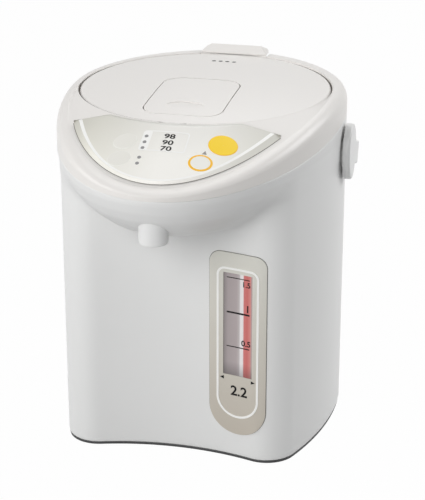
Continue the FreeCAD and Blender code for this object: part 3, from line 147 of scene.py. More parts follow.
def moulded(name, colour, rough=0.42, grain=0.00035, depth=0.08, vary=0.03, coat=0.0):
    """Moulded plastic: fine grain in the bump, faint cloudy change in colour and gloss."""
    mat, tree, out = new_tree(name)
    new, link = tree.nodes.new, tree.links.new
    bsdf = new("ShaderNodeBsdfPrincipled")
    where = new("ShaderNodeTexCoord")
    fine = new("ShaderNodeTexNoise")
    fine.inputs["Scale"].default_value = 1 / grain
    fine.inputs["Detail"].default_value = 3
    cloud = new("ShaderNodeTexNoise")
    cloud.inputs["Scale"].default_value = 22
    cloud.inputs["Detail"].default_value = 4
    for tex in (fine, cloud):
        link(where.outputs["Object"], tex.inputs["Vector"])
    tint = new("ShaderNodeMix")
    tint.data_type = "RGBA"
    tint.inputs["A"].default_value = (*[c * (1 - vary) for c in colour], 1)
    tint.inputs["B"].default_value = (*[min(1, c * (1 + vary)) for c in colour], 1)
    link(cloud.outputs["Fac"], tint.inputs["Factor"])
    link(tint.outputs["Result"], bsdf.inputs["Base Color"])
    gloss = new("ShaderNodeMapRange")
    gloss.inputs["To Min"].default_value = rough - 0.05
    gloss.inputs["To Max"].default_value = rough + 0.05
    link(fine.outputs["Fac"], gloss.inputs["Value"])
    link(gloss.outputs["Result"], bsdf.inputs["Roughness"])
    bump = new("ShaderNodeBump")
    bump.inputs["Strength"].default_value = depth
    bump.inputs["Distance"].default_value = 0.0002
    link(fine.outputs["Fac"], bump.inputs["Height"])
    link(bump.outputs["Normal"], bsdf.inputs["Normal"])
    bsdf.inputs["Coat Weight"].default_value = coat
    bsdf.inputs["Coat Roughness"].default_value = 0.12
    link(bsdf.outputs[0], out.inputs["Surface"])
    return mat, tree, bsdf


def graded(tree, axis, start, end, stops):
    """A colour that changes along one axis of the object, between two places in metres."""
    new, link = tree.nodes.new, tree.links.new
    where, parts = new("ShaderNodeTexCoord"), new("ShaderNodeSeparateXYZ")
    link(where.outputs["Object"], parts.inputs[0])
    scale = new("ShaderNodeMapRange")
    scale.inputs["From Min"].default_value = start
    scale.inputs["From Max"].default_value = end
    link(parts.outputs[axis], scale.inputs["Value"])
    shade = new("ShaderNodeValToRGB")
    elements = shade.color_ramp.elements
    while len(elements) < len(stops):
        elements.new(0.5)
    for element, (at, colour) in zip(elements, stops):
        element.position = at
        element.color = (*colour, 1)
    link(scale.outputs[0], shade.inputs["Fac"])
    return shade.outputs["Color"]


def dimmed(tree, colour, axis, places, shares):
    """The colour times a share that changes along one axis of the object."""
    new, link = tree.nodes.new, tree.links.new
    where, parts = new("ShaderNodeTexCoord"), new("ShaderNodeSeparateXYZ")
    link(where.outputs["Object"], parts.inputs[0])
    fade = new("ShaderNodeMapRange")
    for side, place, share in zip(("Min", "Max"), places, shares):
        fade.inputs["From " + side].default_value = place
        fade.inputs["To " + side].default_value = share
    link(parts.outputs[axis], fade.inputs["Value"])
    dim = new("ShaderNodeMix")
    dim.data_type = "RGBA"
    dim.blend_type = "MULTIPLY"
    dim.inputs["Factor"].default_value = 1.0
    link(colour, dim.inputs["A"])
    link(fade.outputs[0], dim.inputs["B"])
    return dim.outputs["Result"]


def dress(node, mat):
    """Give a carried-over part one material."""
    mesh = nodes[node].data
    mesh.materials.clear()
    mesh.materials.append(mat)
    for poly in mesh.polygons:
        poly.material_index = 0


black_plastic = moulded("black_plastic", (0.035, 0.035, 0.036), 0.5, 0.0005, 0.2)[0]
black_rubber = moulded("black_rubber", (0.03, 0.03, 0.03), 0.75, 0.0008, 0.35)[0]
dress("base_cover", black_plastic)
dress("rubber_feet", black_rubber)


def metal(name, colour, rough=0.3, streak=(1, 1, 60)):
    """Brushed or rolled metal: streaks along one axis in gloss and bump."""
    mat, tree, out = new_tree(name)
    new, link = tree.nodes.new, tree.links.new
    bsdf = new("ShaderNodeBsdfPrincipled")
    bsdf.inputs["Base Color"].default_value = (*colour, 1)
    bsdf.inputs["Metallic"].default_value = 1.0
    where, squeeze = new("ShaderNodeTexCoord"), new("ShaderNodeMapping")
    squeeze.inputs["Scale"].default_value = streak
    brush = new("ShaderNodeTexNoise")
    brush.inputs["Scale"].default_value = 60
    brush.inputs["Detail"].default_value = 6
    link(where.outputs["Object"], squeeze.inputs["Vector"])
    link(squeeze.outputs["Vector"], brush.inputs["Vector"])
    gloss = new("ShaderNodeMapRange")
    gloss.inputs["To Min"].default_value = rough - 0.1
    gloss.inputs["To Max"].default_value = rough + 0.12
    link(brush.outputs["Fac"], gloss.inputs["Value"])
    link(gloss.outputs["Result"], bsdf.inputs["Roughness"])
    bump = new("ShaderNodeBump")
    bump.inputs["Strength"].default_value = 0.1
    bump.inputs["Distance"].default_value = 0.0001
    link(brush.outputs["Fac"], bump.inputs["Height"])
    link(bump.outputs["Normal"], bsdf.inputs["Normal"])
    link(bsdf.outputs[0], out.inputs["Surface"])
    return mat


steel = metal("stainless_steel", (0.68, 0.68, 0.67))
zinc = metal("zinc_plate", (0.58, 0.59, 0.6), 0.42, (8, 8, 8))
dress("base_screws", zinc)

# Outer case
# One white polypropylene moulding, 2.2 mm thick: a column with a hollow front, and the beak's
# bowl running into it with a soft blend. The screws through the base cover hold it.


def turned(points):
    """Angles and radii of an outline about the case's axis, in order of angle."""
    flat = np.array(points)
    angle = np.arctan2(flat[:, 1], flat[:, 0])
    order = np.argsort(angle)
    return angle[order], np.hypot(flat[:, 0], flat[:, 1])[order]


# Places and sizes in millimetres
HALF_WIDE, BACK_REACH, OVAL_Y = 98.2, 107.9, 13.5
CORNER_X, CORNER_Y, CORNER_ROUND = 61.0, -64.0, 22.4
HOLLOW_Y = -77.1
BOWL_HALF_WIDE, BOWL_REACH = 98.25, 165.55
HEAD_Z, HEAD_TILT = 222, 0.07
INLET_X, INLET_Y = 17.0, 119.8
GAUGE_X = 44.2
PIN_Y, PIN_Z = 13, 200


def case_plan():
    """The column's plan in millimetres: back oval, sides, front corners and hollow front."""
    points = [(HALF_WIDE * math.cos(t), OVAL_Y + BACK_REACH * math.sin(t))
              for t in np.linspace(0, math.pi, 240)]
    dx, dy, rise = CORNER_X - HALF_WIDE, CORNER_Y - OVAL_Y, HOLLOW_Y - CORNER_Y
    side = (dx * dx + dy * dy - CORNER_ROUND ** 2) / (2 * (-dx - CORNER_ROUND))
    hollow = (CORNER_X ** 2 + rise ** 2 - CORNER_ROUND ** 2) / (2 * (CORNER_ROUND + rise))
    lean = math.atan2(dy, CORNER_X - (HALF_WIDE - side))
    arcs = [(HALF_WIDE - side + side * math.cos(t), OVAL_Y + side * math.sin(t))
            for t in np.linspace(0, lean, 60)]
    down = math.atan2(rise - hollow, -CORNER_X)
    arcs += [(CORNER_X + CORNER_ROUND * math.cos(t), CORNER_Y + CORNER_ROUND * math.sin(t))
             for t in np.linspace(lean, down + 2 * math.pi if down > 0 else down, 60)]
    turn_in = math.atan2(CORNER_X, hollow - rise)
    arcs += [(hollow * math.sin(t), HOLLOW_Y - hollow + hollow * math.cos(t))
             for t in np.linspace(turn_in, 0, 60)]
    return points + arcs + [(-x, y) for x, y in arcs]


PLAN_ANGLE, PLAN_RADIUS = turned(case_plan())
BOWL_Z = [120, 150, 158, 164, 173, 180, 187, 194, 201, 208, 214, 400]
BOWL_WIDE = [0.1, 0.25, 0.42, 0.54, 0.672, 0.752, 0.824, 0.892, 0.948, 0.984, 1, 1]
BOWL_FAR = [0.1, 0.2, 0.36, 0.51, 0.745, 0.848, 0.911, 0.955, 0.981, 0.996, 1, 1]


def column_radius(angle):
    return np.interp(angle, PLAN_ANGLE, PLAN_RADIUS, period=2 * math.pi)


def bowl_radius(angle, z):
    """Distance from the axis to the beak's bowl: its sections are ovals about the case's middle."""
    wide = BOWL_HALF_WIDE * np.interp(z, BOWL_Z, BOWL_WIDE)
    far = BOWL_REACH * np.interp(z, BOWL_Z, BOWL_FAR)
    c, s = np.cos(angle), np.sin(angle)
    a = (c / wide) ** 2 + (s / far) ** 2
    b = -2 * OVAL_Y * s / far ** 2
    k = (OVAL_Y / far) ** 2 - 1
    radius = (-b + np.sqrt(np.maximum(b * b - 4 * a * k, 0))) / (2 * a)
    return np.where(radius * s < OVAL_Y, radius, 0)


def case_radius(angle, z):
    """The larger of column and bowl, blended softly where they cross under the beak."""
    col, bowl = column_radius(angle), bowl_radius(angle, z)
    soft = np.clip((213 - z) / 16, 0, 1) * 15 + 0.01
    near = np.clip(1 - np.abs(col - bowl) / soft, 0, 1)
    return np.maximum(col, bowl) + near ** 3 * soft / 6


def grid_object(name, points, mat, closed=True):
    """A smooth mesh over a grid of points in millimetres: rows up, columns round."""
    rows, cols = points.shape[:2]
    mesh = bpy.data.meshes.new(name)
    faces = []
    for r in range(rows - 1):
        for c in range(cols if closed else cols - 1):
            d = (c + 1) % cols
            faces.append((r * cols + c, r * cols + d, (r + 1) * cols + d, (r + 1) * cols + c))
    mesh.from_pydata((points.reshape(-1, 3) / 1000).tolist(), [], faces)
    for poly in mesh.polygons:
        poly.use_smooth = True
    mesh.materials.append(mat)
    item = bpy.data.objects.new(name, mesh)
    scene.collection.objects.link(item)
    return item


case_white = moulded("case_white", (0.80, 0.80, 0.79), 0.36, 0.0004, 0.05, 0.008)[0]
# A column of points stands on each side of the inlet's opening
at_inlet = [math.atan2(INLET_Y, x) for x in (INLET_X, -INLET_X)]
angles = np.sort(np.array(list(np.linspace(0, 2 * math.pi, 320, endpoint=False)) + at_inlet))


def round_row(radius, z):
    """One row of points round the case, at a height in millimetres."""
    return np.stack([radius * np.cos(angles), radius * np.sin(angles), z + 0 * angles], 1)


# Rows go up the straight wall, then in shares of the way to the head's tilted edge
upright = [2.3, 2.5, 3.0, 3.7, 6, 12, 22, *np.linspace(26, 40, 4), 44, *range(50, 151, 6)]
back = np.sin(angles) * column_radius(angles) > OVAL_Y
top_radius = np.where(back, column_radius(angles), bowl_radius(angles, 300))
top_z = HEAD_Z + HEAD_TILT * top_radius * np.sin(angles)
rows = []
for z in upright:
    inset = {2.3: 0.9, 2.5: 0.45, 3.0: 0.12}.get(z, 0)
    rows.append(round_row(case_radius(angles, z) - inset, z))
steps = np.linspace(0, 1, 48)[1:-1].tolist() + [0.985, 0.9925, 1.0]
for step in steps:
    z = upright[-1] + (top_z - upright[-1]) * step
    inset = {0.9925: 0.1, 1.0: 0.45}.get(step, 0)
    radius = np.where(back, column_radius(angles), case_radius(angles, z))
    rows.append(round_row(radius - inset, z))
case = grid_object("case_skin", np.array(rows), case_white)
edit = bmesh.new()
edit.from_mesh(case.data)
# Openings for the gauge window and the power inlet
gone = []
for face in edit.faces:
    x, y, z = face.calc_center_median() * 1000
    in_foot = z > 40 or math.hypot(x - GAUGE_X, z - 40) < 16
    if y < 0 and 28 < x < 60.5 and 24 < z < 149 and in_foot:
        gone.append(face)
    if y > 100 and abs(x) < INLET_X and 22 < z < 44:
        gone.append(face)
bmesh.ops.delete(edit, geom=gone, context="FACES")
edit.to_mesh(case.data)
edit.free()
wall = case.modifiers.new("wall", "SOLIDIFY")
wall.thickness = 0.0022
wall.offset = -1
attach(case, "pot")
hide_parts("outer_case")

# The black cover shows as a line under the case; bosses stand out round the handle's pins
foot_radius = case_radius(angles, 2)
points = [round_row(foot_radius - inset, z) for z, inset in ((1.5, 0.35), (2.7, 0.35), (2.7, 1.2))]
rim = grid_object("case_foot_line", np.array(points), black_plastic)
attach(rim, "pot")
for side in (-1, 1):
    turns = np.linspace(0, 2 * math.pi, 64, endpoint=False)
    points = [np.stack([np.full(64, side * x), PIN_Y + r * np.cos(turns),
                        PIN_Z + r * np.sin(turns)], 1)
              for x, r in ((96.5, 11), (98.9, 11), (99.3, 10.6), (99.3, 4.2))]
    name = "handle_boss_" + ("left" if side < 0 else "right")
    boss = grid_object(name, np.array(points), case_white)
    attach(boss, "pot")

# Vessel and heater
# A deep-drawn stainless vessel stands on a sheet-metal cradle, with the heater pressed under it.

silicone = moulded("silicone", (0.72, 0.72, 0.70), 0.55, 0.0006, 0.15)[0]
cast = metal("cast_aluminium", (0.55, 0.55, 0.56), 0.5, (20, 20, 20))
for name in ("inner_container", "thermistor"):
    dress(name, steel)
dress("vessel_cradle", zinc)
dress("heater", cast)
dress("flange_gasket", silicone)
dress("thermal_fuse", moulded("fuse_ceramic", (0.82, 0.82, 0.78), 0.25, 0.0006, 0.05)[0])

# Pump and water way
# A small centrifugal pump under the vessel sends water up the sight tube and over to the nozzle.

grey_plastic = moulded("grey_plastic", (0.45, 0.45, 0.44), 0.45, 0.0005, 0.12)[0]
for name in ("pump_housing", "handle_pivots"):
    dress(name, grey_plastic)
dress("pump_motor", zinc)
dress("pump_impeller", black_plastic)
for name in ("pump_seal", "delivery_elbow", "outlet_pipe"):
    dress(name, silicone)
mat, _, bsdf = moulded("tube_glass", (0.92, 0.96, 0.96), 0.08, 0.001, 0.01, 0.01)
bsdf.inputs["Alpha"].default_value = 0.3
bsdf.inputs["Coat Weight"].default_value = 1.0
dress("gauge_tube", mat)

# Electrics
# Two brown phenolic boards, and a black inlet with two brass pins low on the back.

board = moulded("phenolic_board", (0.42, 0.27, 0.12), 0.4, 0.0006, 0.1, 0.08)[0]
for name in ("control_board", "power_board"):
    dress(name, board)
for name in ("key_switches", "power_components", "power_inlet"):
    dress(name, black_plastic)
dress("inlet_contacts", metal("brass", (0.78, 0.58, 0.25), 0.25))
dress("inlet_magnets", steel)

# Spout nozzle
# A white cup-shaped nozzle stands down through the beak's bowl, over the silicone pipe.

dress("spout_nozzle", case_white)

# Shoulder ring
# The top moulding: a warm white ring that clips onto the case and carries the lid and panel.

head_white = moulded("head_white", (0.81, 0.785, 0.755), 0.36, 0.0004, 0.05, 0.008)[0]
dress("shoulder_ring", head_white)

# Control panel
# A raised greige cover that is stuck to the ramp of the head. Its lower border slopes down
# to the ramp, with a dark painted shadow at its foot, and a white painted highlight runs along the
# slope's upper edge.


LID_Y, RIM_Z, LIP_Z = 7, 242.6, 241.8
RIM_WIDE, RIM_DEEP, LIP_DEEP = 88.9, 91.9, 147
FACE_BACK, FACE_UP = 0.985, 1.967


def head_z(x, y):
    """Height of the ramp under the panel, between the lid's rim and the head's lip."""
    share = np.full(np.shape(x), 0.5)
    for _ in range(12):
        across = np.clip(x / (RIM_WIDE + 0.9 * share), -0.999, 0.999)
        up = -np.sqrt(1 - across ** 2)
        share = ((y - LID_Y) / up - RIM_DEEP) / (LIP_DEEP - RIM_DEEP)
    return RIM_Z + share * (LIP_Z - 25 * up * up - RIM_Z)


def panel_z(x, y, lift=0.0):
    """Height of the panel's face, or of a print or key that stands out of it."""
    return head_z(x, y + FACE_BACK) + FACE_UP + lift


# Both long borders are arcs of ovals about the lid's middle
LOW_WIDE, LOW_DEEP, TIP_DOWN = 86, 145, 83.3
TOP_WIDE, TOP_DEEP, TOP_END = 93.7, 95.7, 44.6
lean = math.asin(TIP_DOWN / LOW_DEEP)
turn = math.acos(TOP_END / TOP_WIDE)
top_arc = np.array([(TOP_WIDE * math.cos(t), LID_Y + TOP_DEEP * math.sin(t))
                    for t in np.linspace(2 * math.pi - turn, math.pi + turn, 160)])
tip = np.array((LOW_WIDE * math.cos(lean), LID_Y - TIP_DOWN))
high_line = np.vstack([tip * (-1, 1), top_arc[::-1], tip])
# Columns run from the lower border to the upper one: square to the border first, then spread
SQUARE_RUN = 7
round_low = np.linspace(math.pi + lean, 2 * math.pi - lean, 220)
low_line = np.stack([LOW_WIDE * np.cos(round_low), LID_Y + LOW_DEEP * np.sin(round_low)], 1)
inward = -np.stack([np.cos(round_low) / LOW_WIDE, np.sin(round_low) / LOW_DEEP], 1)
inward /= np.hypot(*inward.T)[:, None]
# reach is how far in from the lower border the upper one lies
reach, far = np.zeros(len(low_line)), np.full(len(low_line), 60.0)
for _ in range(30):
    half = (reach + far) / 2
    x, y = (low_line + inward * half[:, None]).T
    under = y < np.interp(x, *high_line.T)
    reach, far = np.where(under, half, reach), np.where(under, far, half)
turn_in = low_line + inward * np.minimum(reach, SQUARE_RUN)[:, None]
free = np.flatnonzero(reach > SQUARE_RUN)
top_x = turn_in[:, 0].copy()
top_x[free] = np.linspace(turn_in[free[0], 0], turn_in[free[-1], 0], len(free))
top_end = np.stack([top_x, np.interp(top_x, *high_line.T)], 1)
top_end[reach <= SQUARE_RUN] = turn_in[reach <= SQUARE_RUN]

# The sloping border is 3 mm wide at the tips and nearly upright in the middle
aside = np.abs(low_line[:, 0])
slope_wide = np.interp(aside, [0, 15, 30, 44, 57, 67], [0.35, 0.4, 0.7, 1.6, 2.5, 3.0])
# Width of the white painted highlight above the slope
highlight_wide = np.interp(aside, [0, 30, 44, 57, 67], [1.1, 1.3, 1.6, 1.9, 2.2])
depths = [(-0.4, 0), (0, 0), (0.04, 0)]
depths += [(share * slope_wide, 0) for share in (0.25, 0.5, 0.75, 1)]
depths += [(slope_wide, 0.25), (slope_wide, 0.3),
           (slope_wide + highlight_wide, 0.3), (slope_wide + highlight_wide, 0.4)]
rows = []
for at, add in depths:
    deep = np.minimum(np.minimum(at + add + 0 * reach, reach), SQUARE_RUN)
    spot = low_line + inward * deep[:, None]
    lift = np.interp(deep / slope_wide, [0, 1], [-1.92, -0.1])
    lift = np.where(deep > slope_wide, np.minimum(-0.1 + (deep - slope_wide) * 0.4, 0), lift)
    rows.append(np.stack([spot[:, 0], spot[:, 1], panel_z(spot[:, 0], spot[:, 1], lift)], 1))
for share in np.linspace(0, 1, 16):
    spot = turn_in + (top_end - turn_in) * share
    rows.append(np.stack([spot[:, 0], spot[:, 1], panel_z(spot[:, 0], spot[:, 1])], 1))
for drop in (0.25, 2.0):
    rows.append(rows[-1] - (0, 0, drop))

# Colour across the cover: nearly white in the middle, greige towards the tips and the lid
panel_face, tree, bsdf = moulded("panel_greige", (0.72, 0.70, 0.635), 0.38, 0.0005, 0.05, 0.01)
face_grade = graded(tree, "X", -0.072, 0.072, [
    (0.0, (0.61, 0.595, 0.53)), (0.14, (0.735, 0.72, 0.645)), (0.30, (0.79, 0.775, 0.715)),
    (0.5, (0.88, 0.865, 0.82)), (0.70, (0.88, 0.865, 0.82)), (0.86, (0.79, 0.775, 0.715)),
    (1.0, (0.70, 0.685, 0.62))])
face_grade = dimmed(tree, face_grade, "Y", (-0.078, -0.118), (0.9, 1.04))
tree.links.new(face_grade, bsdf.inputs["Base Color"])
# Painted light on the border: a near-white highlight along the slope's crest and a dark shadow at
# its foot
panel_crest_highlight = moulded("panel_crest_highlight", (0.93, 0.925, 0.90), 0.3, 0.0005, 0.03, 0.01)[0]
panel = grid_object("panel_cover", np.array(rows), panel_face, closed=False)
panel.data.materials.append(panel_crest_highlight)
panel.data.materials.append(moulded("panel_foot_shadow", (0.16, 0.15, 0.13), 0.6, 0.0005, 0.05, 0.02)[0])
for poly in panel.data.polygons:
    row = min(poly.vertices) // len(low_line)
    # Row 0 is the painted shadow at the foot and row 8 the painted highlight along the crest
    poly.material_index = {0: 2, 8: 1}.get(row, 0)
edit = bmesh.new()
edit.from_mesh(panel.data)
bmesh.ops.remove_doubles(edit, verts=edit.verts, dist=0.000002)
bmesh.ops.recalc_face_normals(edit, faces=edit.faces)
edit.to_mesh(panel.data)
edit.free()
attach(panel, "pot")
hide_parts("control_panel")

# Prints on the panel and the gauge
# Thin pad prints: each is a flat figure laid on the curved face it belongs to.


def figure(text, height):
    """Plain figures as flat points and faces, centred, of a height in millimetres."""
    curve = bpy.data.curves.new("figures", "FONT")
    curve.body = text
    curve.align_x = "CENTER"
    curve.align_y = "CENTER"
    curve.size = 1
    curve.resolution_u = 6
    curve.offset = 0.022
    item = bpy.data.objects.new("figures", curve)
    scene.collection.objects.link(item)
    mesh = bpy.data.meshes.new_from_object(item)
    bpy.data.objects.remove(item)
    flat = np.array([v.co[:2] for v in mesh.vertices])
    faces = [tuple(p.vertices) for p in mesh.polygons]
    flat -= (flat.max(0) + flat.min(0)) / 2
    return flat * (height / (flat[:, 1].max() - flat[:, 1].min())), faces


def band(outer, inner):
    """A closed band between two outlines of the same number of points."""
    n = len(outer)
    faces = [(i, (i + 1) % n, n + (i + 1) % n, n + i) for i in range(n)]
    return np.vstack([outer, inner]), faces


def rounded(half_x, half_y, corner, n=10):
    """A rectangle with round corners, centred, with points along its sides for a curved face."""
    corners = []
    for k, (sx, sy) in enumerate(((1, 1), (-1, 1), (-1, -1), (1, -1))):
        turn = np.linspace(0, math.pi / 2, n) + k * math.pi / 2
        corners.append(np.stack([sx * (half_x - corner) + corner * np.cos(turn),
                                 sy * (half_y - corner) + corner * np.sin(turn)], 1))
    points = []
    for here, ahead in zip(corners, corners[1:] + corners[:1]):
        run = np.linspace(0, 1, 12)[1:-1, None]
        points += [here, here[-1] + (ahead[0] - here[-1]) * run]
    return np.vstack(points)


def disc(half_x, half_y, n=48):
    """An oval outline, centred."""
    return np.array([(half_x * math.cos(t), half_y * math.sin(t))
                     for t in np.linspace(0, 2 * math.pi, n, endpoint=False)])


def printed(name, flat, faces, place, mat, body="pot"):
    """Lay a flat shape on a face: place turns its points into x, y, z in millimetres."""
    x, y, z = place(flat[:, 0], flat[:, 1])
    mesh = bpy.data.meshes.new(name)
    mesh.from_pydata((np.stack([x, y, z], 1) / 1000).tolist(), [], faces)
    mesh.materials.append(mat)
    item = bpy.data.objects.new(name, mesh)
    scene.collection.objects.link(item)
    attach(item, body)


def on_panel(x0, y0, lift=0.08):
    """Places on the panel's face, about a point and a little proud."""
    return lambda u, v: (x0 + u, y0 + v, panel_z(x0 + u, y0 + v, lift))


ink, _, bsdf = moulded("black_ink", (0.012, 0.011, 0.011), 0.6, 0.0003, 0.02)
bsdf.inputs["Specular IOR Level"].default_value = 0.15
grey_ink = moulded("grey_ink", (0.30, 0.29, 0.27), 0.45, 0.0003, 0.02)[0]
white_ink = moulded("white_ink", (0.93, 0.925, 0.90), 0.4, 0.0003, 0.02)[0]
for text, y in (("98", -99.6), ("90", -105.0), ("70", -110.2)):
    flat, faces = figure(text, 4.0)
    flat = flat * (7.4 / (flat[:, 0].max() - flat[:, 0].min()), 1)
    printed("figure_" + text, flat, faces, on_panel(2.2, y), ink)
flat, faces = band(rounded(15.5, 8.7, 2.2), rounded(14.6, 7.8, 1.6))
printed("field_frame", flat, faces, on_panel(-0.4, -104.0), white_ink)
flat, faces = band(rounded(3.0, 8.3, 1.4), rounded(0.01, 4.0, 0.005))
printed("lamp_field", flat, faces, on_panel(-12.9, -104.0, 0.05), white_ink)
flat = np.array([(-1.6, -1.5), (1.6, -1.5), (0, 1.6)])
printed("unlock_pointer", flat, [(0, 1, 2)], on_panel(27.8, -109.5), grey_ink)

# Keys and lamps
# Four soft keys stand flush in holes of the panel, over switches on the board below. Five small
# lamps show through the panel beside the figures.


def key(name, x0, y0, half_x, half_y, body, mats, rings):
    """A low soft key: a rounded rim and a nearly flat top. rings tells each row's material."""
    depth = [(1.0, -0.5), (0.998, 0.0), (0.985, 0.12), (0.955, 0.18), (0.90, 0.2), (0.86, 0.2),
             (0.80, 0.2), (0.72, 0.21), (0.55, 0.22), (0.35, 0.24), (0.15, 0.25), (0.01, 0.25)]
    points = []
    for share, lift in depth:
        flat = disc(half_x, half_y, 72) * share
        points.append(np.stack([x0 + flat[:, 0], y0 + flat[:, 1],
                                panel_z(x0 + flat[:, 0], y0 + flat[:, 1], lift)], 1))
    item = grid_object(name + "_cap", np.array(points), mats[0])
    for extra in mats[1:]:
        item.data.materials.append(extra)
    for poly in item.data.polygons:
        row = min(poly.vertices) // 72
        poly.material_index = rings[min(row, len(rings) - 1)]
    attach(item, body)
    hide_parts(name)


yellow = moulded("key_yellow", (0.96, 0.66, 0.02), 0.35, 0.0005, 0.05, 0.02)[0]
orange = moulded("key_orange", (0.93, 0.52, 0.03), 0.35, 0.0005, 0.05, 0.02)[0]
pale = moulded("key_pale", (0.80, 0.785, 0.73), 0.4, 0.0005, 0.05, 0.01)[0]
whitish = moulded("key_white", (0.86, 0.85, 0.80), 0.4, 0.0005, 0.05, 0.01)[0]
key("dispense_key", 37.7, -100.4, 9.7, 8.8, "dispense", [yellow, orange], [1, 1, 1, 0])
key("unlock_key", 27.1, -118.6, 8.0, 7.0, "unlock", [whitish, orange], [1, 1, 1, 1, 1, 1, 0])
key("warmth_key", -26.5, -104.6, 7.8, 6.7, "warmth", [pale, whitish], [1, 1, 1, 0])
key("timer_key", -26.5, -119.8, 7.8, 6.7, "timer", [pale, whitish], [1, 1, 1, 0])
dress("indicator_lamps", moulded("lamp_lens", (0.27, 0.27, 0.27), 0.2, 0.0005, 0.02, 0.02, 0.6)[0])

# Gauge window
# A greige surround is stuck to the hollow front, with a white line let into it. The smoked window
# clips into it, in front of the sight tube and its scale plate.


HOLLOW_ROUND, HOLLOW_END_X = 182.3, 54.3


def on_front(x0, z0, proud):
    """Places on the hollow front, and past its end on the corner, a little proud of them."""
    def place(u, v):
        x = x0 + u
        hollow = HOLLOW_Y - HOLLOW_ROUND + np.sqrt((HOLLOW_ROUND - proud) ** 2 - x ** 2)
        rest = np.maximum((CORNER_ROUND + proud) ** 2 - (x - CORNER_X) ** 2, 0)
        return x, np.where(x < HOLLOW_END_X, hollow, CORNER_Y - np.sqrt(rest)), z0 + v
    return place


gauge_greige, tree, bsdf = moulded("gauge_greige", (0.60, 0.565, 0.50), 0.4, 0.0005, 0.08, 0.02)
shade = graded(tree, "Z", 0.02, 0.154, [(0.0, (0.53, 0.48, 0.41)), (1.0, (0.70, 0.69, 0.63))])
tree.links.new(shade, bsdf.inputs["Base Color"])
dress("gauge_surround", gauge_greige)
dress("gauge_frame", white_ink)


def rounded_ends(half, low, high, top_corner, grow=0.0, n=24):
    """The surround's outline: a half round foot and a square top with round corners."""
    half, points = half + grow, []
    for t in np.linspace(math.pi, 2 * math.pi, 2 * n):
        points.append((half * math.cos(t), low - grow + half + half * math.sin(t)))
    corner = top_corner + grow
    for side, first in ((1, 0), (-1, math.pi / 2)):
        for t in np.linspace(first, first + math.pi / 2, n):
            points.append((side * (half - corner) + corner * math.cos(t),
                           high + grow - corner + corner * math.sin(t)))
    return np.array(points)


# A dark outline round the surround: painted shadow in its gap to the case
flat, faces = band(rounded_ends(20.6, 19.4, 154.0, 8.0, 0.35),
                   rounded_ends(20.6, 19.4, 154.0, 8.0, -3.0))
printed("surround_gap_shadow", flat, faces, on_front(GAUGE_X, 0, 0.06),
        moulded("seam_shadow", (0.16, 0.15, 0.14), 0.7, 0.0005, 0.05)[0])
dress("gauge_scale", white_ink)
# Smoked window with the colours seen through it painted on its face: a grey field, a white stripe
# that is a painted highlight on the tube, a red stripe, and painted shade at its left edge and foot
mat, tree, bsdf = moulded("gauge_window", (0.36, 0.31, 0.32), 0.22, 0.0006, 0.02, 0.03, 0.5)
window_colours_and_painted_light = graded(tree, "X", 0.0333, 0.0555, [
    (0.0, (0.12, 0.10, 0.10)), (0.05, (0.27, 0.235, 0.235)), (0.16, (0.37, 0.32, 0.32)),
    (0.45, (0.42, 0.36, 0.36)), (0.54, (0.52, 0.47, 0.47)), (0.57, (0.82, 0.78, 0.78)),
    (0.66, (0.85, 0.80, 0.80)), (0.69, (0.62, 0.16, 0.15)), (0.80, (0.60, 0.13, 0.12)),
    (0.90, (0.66, 0.22, 0.20)), (0.94, (0.45, 0.33, 0.32))])
# Painted shade: darker towards the window's foot
window_colours_and_painted_light = dimmed(tree, window_colours_and_painted_light, "Z", (0.064, 0.074), (0.5, 1.0))
tree.links.new(window_colours_and_painted_light, bsdf.inputs["Base Color"])
dress("gauge_lens", mat)
for z, thick in ((135.9, 0.65), (110.5, 1.25), (85.2, 0.75)):
    flat = np.array([(u, v) for v in (-thick / 2, thick / 2) for u in np.linspace(-8.2, 8.6, 12)])
    faces = [(i, i + 1, 13 + i, 12 + i) for i in range(11)]
    printed("mark_%d" % z, flat, faces, on_front(GAUGE_X, z + 0.3, 0.68), ink)
for text, x, z, height in (("1.5", 50.6, 132.6, 3.9), ("1", 51.4, 115.2, 5.2),
                           ("0.5", 50.2, 89.4, 4.3), ("2.2", 45.3, 52.6, 7.6)):
    flat, faces = figure(text, height)
    printed("scale_" + text.replace(".", "_"), flat, faces,
            on_front(x, z, 1.0 if text == "2.2" else 0.68), ink)
for side in (-1, 1):
    flat = np.array([(side * 1.7, 0), (-side * 1.4, 1.3), (-side * 1.4, -1.3)])
    printed("arrow_%s" % ("left" if side < 0 else "right"), flat, [(0, 1, 2)],
            on_front(GAUGE_X + side * 11.4, 61.4, 1.0), ink)

# Lid
# A domed warm white shell over a steel inner plate, with the lever let into its top and four vents
# at its back. It turns on a steel pin held in the ring.

for name in ("lid_shell", "lid_lever", "release_lever"):
    dress(name, head_white)
for name in ("lid_inner_plate", "tip_ball", "lever_pin", "release_pin", "lid_hinge_pin"):
    dress(name, steel)
dress("lid_gasket", silicone)
for name in ("steam_valve", "latch_slide"):
    dress(name, grey_plastic)

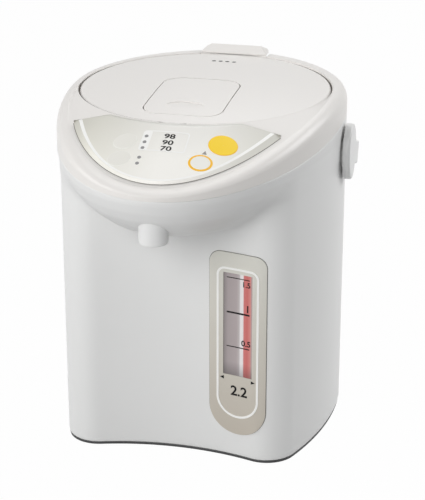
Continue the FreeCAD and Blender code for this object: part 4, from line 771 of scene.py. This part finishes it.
vent_shade = moulded("vent_shadow", (0.03, 0.03, 0.03), 0.8, 0.0005, 0.05)[0]
bpy.context.view_layer.update()
view = bpy.context.evaluated_depsgraph_get()


def lid_top(x, y):
    """Height of the lid's skin at a place, in millimetres."""
    return scene.ray_cast(view, Vector((x / 1000, y / 1000, 0.4)), Vector((0, 0, -1)))[1].z * 1000


LID_WIDE, LID_DEEP, VENT_Y = 88, 91, 64
# Four dark discs at the back of the lid: painted shade where the vents' holes are
for i in range(4):
    flat = disc(1.55, 1.9, 24)
    x0 = (i - 1.5) * 5.0
    ahead, behind = lid_top(x0, VENT_Y - 3.5), lid_top(x0, VENT_Y + 3.5)
    z0 = (ahead + behind) / 2 + 0.06
    points = [np.stack([x0 + share * flat[:, 0], VENT_Y + share * flat[:, 1],
                        z0 + share * flat[:, 1] * (behind - ahead) / 7], 1) for share in (1, 0.01)]
    item = grid_object("vent_%d" % (i + 1), np.array(points), vent_shade)
    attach(item, "lid")

# An apron hangs from the lid's back edge, in front of the notch that the hinge turns in
across = np.linspace(-25.0, 25.0, 60)
behind_lid = LID_Y + LID_DEEP * np.sqrt(1 - (across / LID_WIDE) ** 2)
points = [np.stack([across, behind_lid + back, np.full(60, z)], 1)
          for back, z in ((0.7, 237.5), (0.7, 242.2), (0.9, 242.45), (1.8, 242.5), (1.8, 237.5))]
apron = grid_object("lid_hinge_apron", np.array(points), head_white, closed=False)
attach(apron, "lid")

# Painted shadow in the gap round the lid: a dark strip, high in front, where the ring's edge would
# hide it, and deep behind
turns = np.linspace(0, 2 * math.pi, 240, endpoint=False)
shade_strip_z = 241.1 + 1.25 * np.sqrt(np.maximum(-np.sin(turns), 0))
points = [np.stack([(LID_WIDE + out) * np.cos(turns), LID_Y + (LID_DEEP + out) * np.sin(turns),
                    shade_strip_z + rise], 1) for out, rise in ((0.88, 0.1), (0.85, 0.0), (0.1, 0.0))]
lid_gap_shade = moulded("lid_gap_shade", (0.08, 0.068, 0.056), 0.8, 0.0005, 0.05)[0]
shade_strip = grid_object("lid_gap_shadow", np.array(points), lid_gap_shade)
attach(shade_strip, "pot")

# Handle
# One white bail with an oval ear on each side, swinging on pins in the case.

dress("handle", case_white)
